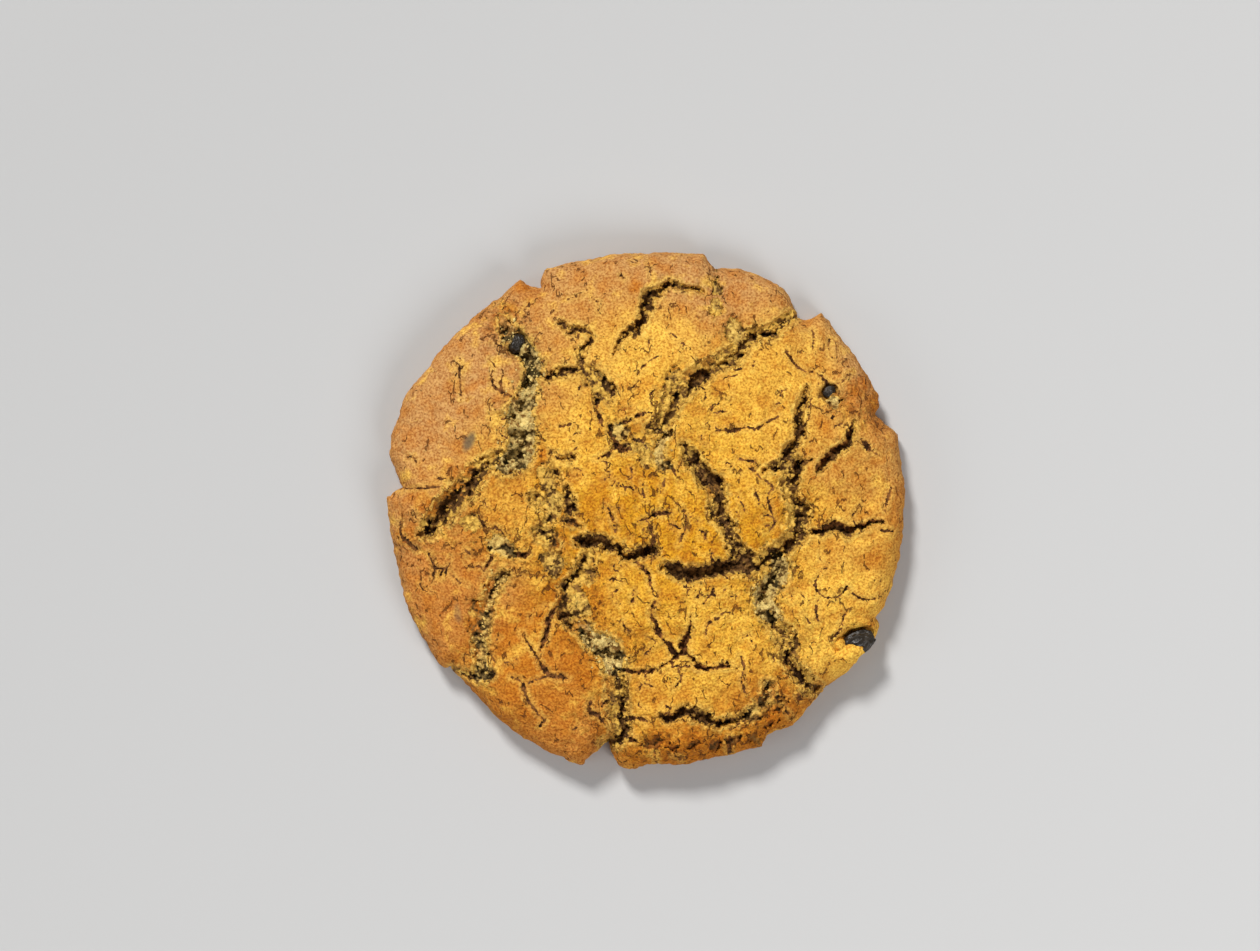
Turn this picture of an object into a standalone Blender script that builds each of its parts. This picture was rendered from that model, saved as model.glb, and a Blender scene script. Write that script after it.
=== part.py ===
"""A large home-style vanilla cookie: one thick domed biscuit whose golden top has torn open into
plates and crumbly cracks, with a nicked, lobed rim, a flat underside and three raisins that show.

Lengths are written in millimetres and become metres by MM. The origin lies on the underside, in
the middle of the cookie. +Z is up.
"""
import math

import bmesh
import bpy
import numpy as np
from mathutils import Matrix, Vector
from mathutils.geometry import delaunay_2d_cdt
from mathutils.kdtree import KDTree

MM = 0.001

# ------------------------------------------------------------------ driving dimensions (mm)
REACH = 51.9            # farthest the rim gets from the middle, along X and along Y
CROWN_HEIGHT = 17.0     # top in the middle, above the underside
SHOULDER_HEIGHT = 9.2   # top where it starts to turn down into the rim
BELLY_HEIGHT = 3.4      # height of the widest line round the side
FOOT_INSET = 1.7        # how far the flat underside lies inside the widest line
SHOULDER_WIDTH = 5.2    # how wide the rounding of the rim is, seen from above
SHOULDER_POWER = 2.3    # 2 is a quarter ellipse, more is squarer
DOME_POWER = 1.15       # how soon the dome falls off towards the rim

# Long soft waves of the top: wave length, heading in degrees, shift in degrees, height
SWELLS = (
    (39.0, 20.0, 40.0, 0.34),
    (31.0, 75.0, 200.0, 0.30),
    (23.0, 130.0, 310.0, 0.26),
    (17.0, 165.0, 95.0, 0.20),
)

# The rim, clockwise from the nick in the west. Each stretch is one smooth curve, and two
# stretches meet in a corner of the rim.
RIM = (
    ((-48.9, 4.7), (-50.1, 8.1), (-51.3, 12.1), (-50.1, 17.5), (-46.9, 24.7), (-35.3, 38.1),
     (-28.7, 43.1), (-25.3, 46.4)),
    ((-25.3, 46.4), (-23.1, 45.1), (-20.9, 44.6)),
    ((-20.9, 44.6), (-21.0, 46.1), (-20.1, 48.5)),
    ((-20.1, 48.5), (-9.1, 50.9), (-0.1, 51.8), (11.7, 51.3)),
    ((11.7, 51.3), (12.7, 49.9), (13.9, 48.5)),
    ((13.9, 48.5), (18.9, 48.4), (25.7, 45.7), (28.5, 43.5), (30.5, 38.7)),
    ((30.5, 38.7), (32.5, 38.1), (35.3, 39.7)),
    ((35.3, 39.7), (39.9, 33.9), (44.1, 27.5), (46.9, 22.1), (46.1, 19.3)),
    ((46.1, 19.3), (48.1, 17.3), (50.5, 15.3)),
    ((50.5, 15.3), (51.9, 4.0), (51.5, -5.9), (48.9, -16.9), (46.1, -21.5)),
    ((46.1, -21.5), (46.7, -23.1), (45.7, -26.3), (42.3, -29.9)),
    ((42.3, -29.9), (40.3, -32.3), (36.1, -35.5), (32.7, -39.5), (30.5, -42.3), (27.9, -43.7),
     (24.9, -44.7), (23.3, -47.3)),
    ((23.3, -47.3), (8.9, -50.6), (0.5, -51.0), (-2.3, -51.8), (-4.9, -51.3), (-6.5, -48.9),
     (-7.3, -46.1)),
    ((-7.3, -46.1), (-9.5, -47.9), (-11.9, -49.9), (-14.1, -50.7), (-26.5, -44.1), (-37.7, -33.1),
     (-39.1, -31.3)),
    ((-39.1, -31.3), (-41.3, -30.7), (-45.5, -23.9), (-48.7, -15.9), (-51.9, 0.7), (-51.1, 3.1),
     (-48.9, 4.7)),
)

# The cracks that part the top into plates: depth, then the places that each one passes
# through, as x, y and the width there.
CRACKS = {
    "north_arch": (3.2, ((11.3, 43.9, 0.6), (4.7, 45.1, 1.3), (0.9, 42.5, 2.0), (-0.7, 37.7, 2.2),
                         (-3.9, 35.7, 1.2), (-6.3, 31.3, 0.6))),
    "north_west_torn": (3.0, ((-28.5, 37.7, 1.2), (-25.3, 32.9, 2.8), (-22.5, 28.1, 2.2),
                              (-23.7, 24.5, 2.0))),
    "west_torn": (3.6, ((-23.7, 24.5, 2.0), (-25.2, 19.5, 4.0), (-24.9, 14.1, 4.2),
                        (-27.4, 10.4, 3.0), (-32.1, 8.1, 3.2), (-36.0, 4.0, 4.4),
                        (-40.9, -1.0, 4.0), (-43.1, -4.5, 1.6))),
    "west_fork": (2.6, ((-22.5, 28.1, 1.6), (-20.1, 26.7, 1.6), (-15.5, 27.9, 1.8),
                        (-13.5, 27.9, 1.0))),
    "north_hook": (1.8, ((-16.9, 37.3, 0.8), (-12.1, 35.9, 1.5), (-11.9, 32.5, 1.5),
                         (-12.5, 28.5, 1.1), (-8.0, 25.6, 1.4), (-6.9, 22.1, 0.8))),
    "north_east_slope": (3.6, ((30.5, 38.9, 0.8), (24.3, 35.1, 1.6), (19.9, 33.5, 1.8),
                               (16.1, 29.9, 3.6), (10.5, 26.3, 3.4), (6.1, 21.9, 2.8),
                               (3.7, 17.3, 2.8), (2.6, 11.9, 1.6), (4.7, 8.9, 0.8))),
    "centre_slope": (3.6, ((7.3, 13.3, 1.0), (10.3, 9.3, 3.4), (14.1, 5.3, 3.2), (14.5, 0.1, 3.0),
                           (17.1, -5.5, 2.8), (20.5, -9.9, 2.6))),
    "centre_band": (3.8, ((3.1, -11.3, 1.2), (6.1, -12.5, 2.6), (11.9, -12.1, 2.9),
                          (18.5, -11.1, 2.8), (24.5, -9.2, 2.8), (29.7, -5.3, 4.0),
                          (30.1, 0.0, 3.8), (28.9, 4.5, 2.6), (30.0, 8.9, 2.6))),
    "east_top": (3.0, ((32.1, 24.3, 0.8), (30.4, 19.3, 1.9), (30.5, 14.5, 2.5), (28.0, 11.0, 2.6),
                       (30.0, 8.9, 2.6))),
    "east_branch": (2.4, ((32.5, 8.0, 1.2), (35.9, 10.3, 2.0), (40.1, 13.5, 1.6),
                          (41.3, 17.7, 0.6))),
    "east_cross": (2.6, ((32.5, -3.9, 1.2), (37.3, -3.1, 1.6), (40.1, -4.3, 1.8),
                         (43.3, -3.1, 1.7), (46.9, -2.1, 0.8))),
    "middle_band": (3.4, ((-13.9, -5.9, 1.8), (-11.2, -6.0, 2.4), (-7.3, -7.3, 1.8),
                          (-3.3, -9.1, 2.1), (1.5, -8.0, 1.4))),
    "south_middle": (3.2, ((-12.1, -9.1, 1.6), (-15.3, -14.1, 1.6), (-16.1, -19.3, 1.9),
                           (-14.6, -23.1, 1.9), (-10.7, -25.9, 4.0), (-7.2, -28.4, 4.2),
                           (-6.3, -32.5, 3.0), (-5.3, -37.5, 3.2), (-4.7, -43.5, 2.4),
                           (-6.3, -46.3, 1.8))),
    "south_west": (2.6, ((-28.1, -12.5, 0.8), (-30.7, -17.1, 3.2), (-31.7, -22.3, 2.9),
                         (-32.1, -27.9, 3.6), (-32.5, -32.7, 1.8))),
    "south_star_west": (1.8, ((1.9, -17.9, 0.8), (1.6, -22.0, 1.1), (4.5, -26.7, 1.1),
                              (7.5, -28.1, 1.9), (4.5, -30.1, 1.0), (-1.1, -32.1, 0.9))),
    "south_star_east": (2.2, ((8.9, -20.7, 0.8), (8.1, -25.1, 1.3), (7.8, -28.1, 1.8),
                              (11.1, -31.1, 1.6), (18.5, -31.3, 0.9))),
    "south_mouth": (3.2, ((3.1, -40.5, 0.8), (7.1, -40.2, 1.5), (11.7, -41.1, 2.3),
                          (15.3, -42.3, 2.1), (20.5, -40.5, 1.4), (24.1, -36.9, 1.6),
                          (24.3, -34.5, 1.0))),
    "south_east": (3.0, ((26.1, -9.9, 2.2), (24.3, -14.4, 3.4), (23.4, -18.5, 3.5),
                         (26.3, -24.1, 2.8), (28.1, -29.0, 1.9), (30.7, -33.1, 2.2),
                         (33.7, -35.5, 1.4))),
}
FLOOR_SHARE = 0.45      # the flat floor's share of a crack's half width
LIP_SHARE = 1.12        # where its wall ends, as a share of the half width

# Raisins: middle x, y, z, half axes along, across and up, and turn about Z in degrees
RAISINS = {
    "raisin_rim": ((42.3, -26.4, 7.5), (3.9, 2.6, 2.1), 26.0),
    "raisin_north_west": ((-25.6, 33.2, 9.9), (2.2, 1.6, 1.4), 60.0),
    "raisin_north_east": ((36.5, 23.7, 10.4), (1.5, 1.1, 1.0), 40.0),
}
WRINKLE_SHARE = 0.05    # wrinkle height, as a share of a raisin's radius
DOUGH_GAP = 0.3         # between a raisin and the dough round it

# ------------------------------------------------------------------ mesh spacing (mm)
RIM_STEP = 1.5
RING_INSETS = (0.55, 1.3, 2.5, 4.1)
CRACK_STEP = 1.3
FILL_STEP = 2.2
LEAST_STEP = 0.62
SIDE_RINGS = ((BELLY_HEIGHT * 0.45, 0.22), (BELLY_HEIGHT * 0.12, 0.95), (0.0, FOOT_INSET))

CRUST_COLOUR = (0.60, 0.31, 0.075)
RAISIN_COLOUR = (0.018, 0.013, 0.010)


# ------------------------------------------------------------------ curves
def smooth_curve(knots, step):
    """A Catmull-Rom curve through the knots, with a point about every step."""
    pts = np.array(knots, dtype=float)
    ends = np.vstack([2 * pts[0] - pts[1], pts, 2 * pts[-1] - pts[-2]])
    curve = []
    for k in range(1, len(ends) - 2):
        before, start, end, after = ends[k - 1:k + 3]
        count = max(1, round(float(np.hypot(*(end - start)[:2])) / step))
        for i in range(count):
            t = i / count
            curve.append(0.5 * (2 * start + (end - before) * t
                                + (2 * before - 5 * start + 4 * end - after) * t ** 2
                                + (3 * start - before - 3 * end + after) * t ** 3))
    curve.append(pts[-1])
    return np.array(curve)


def rim_outline():
    """The closed rim, turned anticlockwise, without a repeated last point."""
    points = np.vstack([smooth_curve(stretch, RIM_STEP)[:-1] for stretch in RIM])
    return points[::-1]


def distance_to_path(points, path):
    """For each point, the distance to a path and the place along it, counted in path points."""
    best = np.full(len(points), np.inf)
    place = np.zeros(len(points))
    for k in range(len(path) - 1):
        start = path[k, :2]
        run = path[k + 1, :2] - start
        t = np.clip(((points - start) @ run) / max(run @ run, 1e-9), 0.0, 1.0)
        gap = np.hypot(*(points - start - t[:, None] * run).T)
        nearer = gap < best
        best[nearer] = gap[nearer]
        place[nearer] = k + t[nearer]
    return best, place


# ------------------------------------------------------------------ the height of the top
def smooth_step(x):
    x = np.clip(x, 0.0, 1.0)
    return x * x * (3.0 - 2.0 * x)


def plain_top(points, inset):
    """Height of the domed top with its swells and rounded rim, before it tears."""
    radius = np.hypot(points[:, 0], points[:, 1]) / REACH
    dome = np.clip(1.0 - radius ** 2, 0.0, 1.0) ** DOME_POWER
    height = SHOULDER_HEIGHT + (CROWN_HEIGHT - SHOULDER_HEIGHT) * dome
    for length, heading, shift, size in SWELLS:
        turn = math.radians(heading)
        along = points[:, 0] * math.cos(turn) + points[:, 1] * math.sin(turn)
        height += size * np.sin(2 * math.pi * along / length + math.radians(shift))
    rounding = np.clip(1.0 - inset / SHOULDER_WIDTH, 0.0, 1.0) ** SHOULDER_POWER
    return BELLY_HEIGHT + (height - BELLY_HEIGHT) * (1.0 - rounding) ** (1.0 / SHOULDER_POWER)


def crack_depth(points, crack_paths):
    """How deep the cracks are at each point: where two meet, the deeper one counts."""
    depth = np.zeros(len(points))
    for name, path in crack_paths.items():
        gap, place = distance_to_path(points, path)
        half = 0.5 * np.interp(place, range(len(path)), path[:, 2])
        reach = (gap / half - FLOOR_SHARE) / (LIP_SHARE - FLOOR_SHARE)
        narrowing = np.sqrt(np.clip(half / 0.8, 0.0, 1.0))
        depth = np.maximum(depth, CRACKS[name][0] * narrowing * (1.0 - smooth_step(reach)))
    return depth


def top_height(points, outline, crack_paths):
    closed = np.vstack([outline, outline[:1]])
    inset, _ = distance_to_path(points, closed)
    height = plain_top(points, inset)
    shallowing = smooth_step(inset / 2.2)
    return height - crack_depth(points, crack_paths) * shallowing, inset


# ------------------------------------------------------------------ the cookie
def side_normals(path):
    """The unit normal at each point of an open path, on its left."""
    run = np.gradient(path[:, :2], axis=0)
    length = np.maximum(np.hypot(run[:, 0], run[:, 1]), 1e-9)
    return np.column_stack([-run[:, 1], run[:, 0]]) / length[:, None]


def top_points(outline, crack_paths):
    """Points of the top: along the cracks, then on rings inside the rim, then an even fill."""
    closed = np.vstack([outline, outline[:1]])
    wanted = []
    for path in crack_paths.values():
        left = side_normals(path)
        half = 0.5 * path[:, 2:3]
        for share in (0.0, FLOOR_SHARE, -FLOOR_SHARE, LIP_SHARE, -LIP_SHARE):
            wanted.append((path[:, :2] + left * half * share, LEAST_STEP, 0.6))
    inward = side_normals(np.vstack([outline[-1:], closed]))[1:-1]
    for inset in RING_INSETS:
        wanted.append((outline + inward * inset, 0.9, inset * 0.85))
    side = np.arange(-REACH, REACH, FILL_STEP)
    rows = np.arange(-REACH, REACH, FILL_STEP * math.sqrt(0.75))
    grid = [(x + (k % 2) * FILL_STEP / 2, y) for k, y in enumerate(rows) for x in side]
    wanted.append((np.array(grid), FILL_STEP * 0.62, RING_INSETS[-1] + 0.8))

    kept = []
    for points, spacing, least_inset in wanted:
        inset, _ = distance_to_path(points, closed)
        within = inside_outline(points, outline) & (inset > least_inset)
        kept = spaced_out(kept, points[within], spacing)
    return np.array(kept)


def inside_outline(points, outline):
    """True where a vertical ray from the point crosses the outline an odd number of times."""
    crossings = np.zeros(len(points), dtype=bool)
    for start, end in zip(outline, np.roll(outline, -1, axis=0)):
        spans = (start[1] > points[:, 1]) != (end[1] > points[:, 1])
        rise = end[1] - start[1] if end[1] != start[1] else 1e-9
        at = start[0] + (points[:, 1] - start[1]) / rise * (end[0] - start[0])
        crossings ^= spans & (points[:, 0] < at)
    return crossings


def spaced_out(kept, points, spacing):
    """Adds the points that keep a least distance from all that were kept before them."""
    tree = KDTree(len(kept) + len(points))
    for i, point in enumerate([*kept, *points]):
        tree.insert((point[0], point[1], 0.0), i)
    tree.balance()
    taken = set(range(len(kept)))
    for i, point in enumerate(points, start=len(kept)):
        near = tree.find_range((point[0], point[1], 0.0), spacing)
        if not any(index in taken for _, index, _ in near):
            taken.add(i)
            kept.append(tuple(point))
    return kept


def cookie_mesh():
    outline = rim_outline()
    crack_paths = {name: smooth_curve(knots, CRACK_STEP) for name, (_, knots) in CRACKS.items()}
    inner = top_points(outline, crack_paths)
    flat = [Vector(p) for p in np.vstack([outline, inner])]
    loop = list(range(len(outline)))
    only_inside = 1
    corners, _, faces, origins, _, _ = delaunay_2d_cdt(flat, [], [loop], only_inside, 1e-7)

    plan = np.array([tuple(c) for c in corners])
    heights, _ = top_height(plan, outline, crack_paths)
    cookie = bmesh.new()
    top = []
    rim = [None] * len(outline)
    for (x, y), z, sources in zip(plan, heights, origins):
        on_rim = [i for i in sources if i < len(outline)]
        vertex = cookie.verts.new((x, y, BELLY_HEIGHT if on_rim else z))
        top.append(vertex)
        for i in on_rim:
            rim[i] = vertex
    for face in faces:
        cookie.faces.new([top[i] for i in face])

    radius = np.hypot(outline[:, 0], outline[:, 1])
    upper = rim
    for height, inset in SIDE_RINGS:
        scaled = outline * ((radius - inset) / radius)[:, None]
        lower = [cookie.verts.new((x, y, height)) for x, y in scaled]
        for i in range(len(outline)):
            j = (i + 1) % len(outline)
            cookie.faces.new((upper[i], lower[i], lower[j], upper[j]))
        upper = lower
    cookie.faces.new(upper[::-1])
    bmesh.ops.triangulate(cookie, faces=[f for f in cookie.faces if len(f.verts) > 3])
    bmesh.ops.recalc_face_normals(cookie, faces=cookie.faces)
    bmesh.ops.scale(cookie, vec=(MM, MM, MM), verts=cookie.verts)
    return cookie


# ------------------------------------------------------------------ the raisins
def raisin_mesh(half_axes, grown_by, wrinkle_share):
    """A wrinkled ellipsoid about the origin; without wrinkles and grown, its own pocket."""
    raisin = bmesh.new()
    bmesh.ops.create_icosphere(raisin, subdivisions=3, radius=1.0)
    for vertex in raisin.verts:
        x, y, z = vertex.co
        folds = math.sin(5.0 * x + 4.0 * y) * math.cos(6.0 * y - 3.0 * z)
        stretch = 1.0 + wrinkle_share * folds
        vertex.co = [c * stretch * (half + grown_by) * MM for c, half in zip((x, y, z), half_axes)]
    return raisin


def add_object(name, mesh_data, material):
    mesh = bpy.data.meshes.new(name)
    mesh_data.to_mesh(mesh)
    mesh_data.free()
    mesh.materials.append(material)
    mesh.shade_smooth()
    thing = bpy.data.objects.new(name, mesh)
    bpy.context.scene.collection.objects.link(thing)
    return thing


def make_material(name, colour, roughness):
    material = bpy.data.materials.new(name)
    material.use_nodes = True
    surface = material.node_tree.nodes["Principled BSDF"]
    surface.inputs["Base Color"].default_value = (*colour, 1.0)
    surface.inputs["Roughness"].default_value = roughness
    surface.inputs["Metallic"].default_value = 0.0
    return material


def place(thing, middle, turn):
    thing.matrix_world = Matrix.Translation(Vector(middle) * MM) @ Matrix.Rotation(
        math.radians(turn), 4, "Z")


def cut_pocket(cookie, name, middle, half_axes, turn, material):
    """Opens the dough round a raisin, with a thin gap."""
    grown_by = DOUGH_GAP + WRINKLE_SHARE * max(half_axes)
    cutter = add_object(name + "_pocket", raisin_mesh(half_axes, grown_by, 0.0), material)
    place(cutter, middle, turn)
    cutter.hide_render = True
    cutter.display_type = "WIRE"
    cut = cookie.modifiers.new(name + "_pocket", "BOOLEAN")
    cut.operation = "DIFFERENCE"
    cut.solver = "EXACT"
    cut.object = cutter


def main():
    for thing in list(bpy.data.objects):
        bpy.data.objects.remove(thing, do_unlink=True)
    crust = make_material("crust", CRUST_COLOUR, 0.85)
    skin = make_material("raisin_skin", RAISIN_COLOUR, 0.35)
    cookie = add_object("cookie", cookie_mesh(), crust)
    for name, (middle, half_axes, turn) in RAISINS.items():
        raisin = add_object(name, raisin_mesh(half_axes, 0.0, WRINKLE_SHARE), skin)
        place(raisin, middle, turn)
        cut_pocket(cookie, name, middle, half_axes, turn, crust)


main()
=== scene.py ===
"""The looks of the large vanilla cookie.

The biscuit is one closed mesh, worked out as a height over its own outline: a dome with a rounded
rim, torn by long crumbly cracks, short fine cracks and rough patches, and then roughened along its
normals. Masks that come out of the same sums (torn crumb, depth, toasting) steer one procedural
crust material. Three raisins and a sprinkling of loose crumbs are pieces of their own.

Lengths are in millimetres until a mesh is made. The frame is the CAD frame: the origin lies in
the middle of the flat underside and +Z is up. +Y is the top of the main view.
"""
import math

import bmesh
import bpy
import numpy as np
from mathutils import Matrix, Vector
from mathutils.bvhtree import BVHTree
from mathutils.geometry import delaunay_2d_cdt


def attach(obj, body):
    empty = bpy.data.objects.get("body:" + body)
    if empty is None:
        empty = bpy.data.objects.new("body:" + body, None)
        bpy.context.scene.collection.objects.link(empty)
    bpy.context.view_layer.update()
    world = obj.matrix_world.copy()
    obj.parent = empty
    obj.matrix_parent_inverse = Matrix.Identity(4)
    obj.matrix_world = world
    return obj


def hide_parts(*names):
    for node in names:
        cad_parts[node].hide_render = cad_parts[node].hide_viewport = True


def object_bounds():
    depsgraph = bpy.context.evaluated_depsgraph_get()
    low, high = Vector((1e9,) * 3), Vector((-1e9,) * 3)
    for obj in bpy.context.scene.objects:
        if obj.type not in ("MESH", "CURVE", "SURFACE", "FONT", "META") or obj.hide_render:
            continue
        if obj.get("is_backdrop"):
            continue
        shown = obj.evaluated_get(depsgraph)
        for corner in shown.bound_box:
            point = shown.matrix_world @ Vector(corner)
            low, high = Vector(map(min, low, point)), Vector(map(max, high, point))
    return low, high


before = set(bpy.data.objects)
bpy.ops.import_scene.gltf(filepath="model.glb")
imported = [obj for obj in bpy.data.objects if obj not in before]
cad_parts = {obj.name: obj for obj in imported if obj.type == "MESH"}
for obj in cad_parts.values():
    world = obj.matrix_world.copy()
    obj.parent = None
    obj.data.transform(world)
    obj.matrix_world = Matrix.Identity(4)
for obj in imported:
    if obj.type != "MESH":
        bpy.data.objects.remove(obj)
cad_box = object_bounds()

MM = 0.001

# ------------------------------------------------------------------ sizes of the solid (mm)
REACH = 51.9
CROWN_HEIGHT = 17.0
SHOULDER_HEIGHT = 9.2
BELLY_HEIGHT = 3.4
FOOT_INSET = 1.7
SHOULDER_WIDTH = 5.2
SHOULDER_POWER = 2.3
DOME_POWER = 1.15

# Long soft waves of the top: wave length, heading in degrees, shift in degrees, height
SWELLS = (
    (39.0, 20.0, 40.0, 0.34),
    (31.0, 75.0, 200.0, 0.30),
    (23.0, 130.0, 310.0, 0.26),
    (17.0, 165.0, 95.0, 0.20),
)

# The rim, clockwise from the nick in the west, as in the CAD
RIM = (
    ((-48.9, 4.7), (-50.1, 8.1), (-51.3, 12.1), (-50.1, 17.5), (-46.9, 24.7), (-35.3, 38.1),
     (-28.7, 43.1), (-25.3, 46.4)),
    ((-25.3, 46.4), (-23.1, 45.1), (-20.9, 44.6)),
    ((-20.9, 44.6), (-21.0, 46.1), (-20.1, 48.5)),
    ((-20.1, 48.5), (-9.1, 50.9), (-0.1, 51.8), (11.7, 51.3)),
    ((11.7, 51.3), (12.7, 49.9), (13.9, 48.5)),
    ((13.9, 48.5), (18.9, 48.4), (25.7, 45.7), (28.5, 43.5), (30.5, 38.7)),
    ((30.5, 38.7), (32.5, 38.1), (35.3, 39.7)),
    ((35.3, 39.7), (39.9, 33.9), (44.1, 27.5), (46.9, 22.1), (46.1, 19.3)),
    ((46.1, 19.3), (48.1, 17.3), (50.5, 15.3)),
    ((50.5, 15.3), (51.9, 4.0), (51.5, -5.9), (48.9, -16.9), (46.1, -21.5)),
    ((46.1, -21.5), (46.7, -23.1), (45.7, -26.3), (42.3, -29.9)),
    ((42.3, -29.9), (40.3, -32.3), (36.1, -35.5), (32.7, -39.5), (30.5, -42.3), (27.9, -43.7),
     (24.9, -44.7), (23.3, -47.3)),
    ((23.3, -47.3), (8.9, -50.6), (0.5, -51.0), (-2.3, -51.8), (-4.9, -51.3), (-6.5, -48.9),
     (-7.3, -46.1)),
    ((-7.3, -46.1), (-9.5, -47.9), (-11.9, -49.9), (-14.1, -50.7), (-26.5, -44.1), (-37.7, -33.1),
     (-39.1, -31.3)),
    ((-39.1, -31.3), (-41.3, -30.7), (-45.5, -23.9), (-48.7, -15.9), (-51.9, 0.7), (-51.1, 3.1),
     (-48.9, 4.7)),
)

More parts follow.
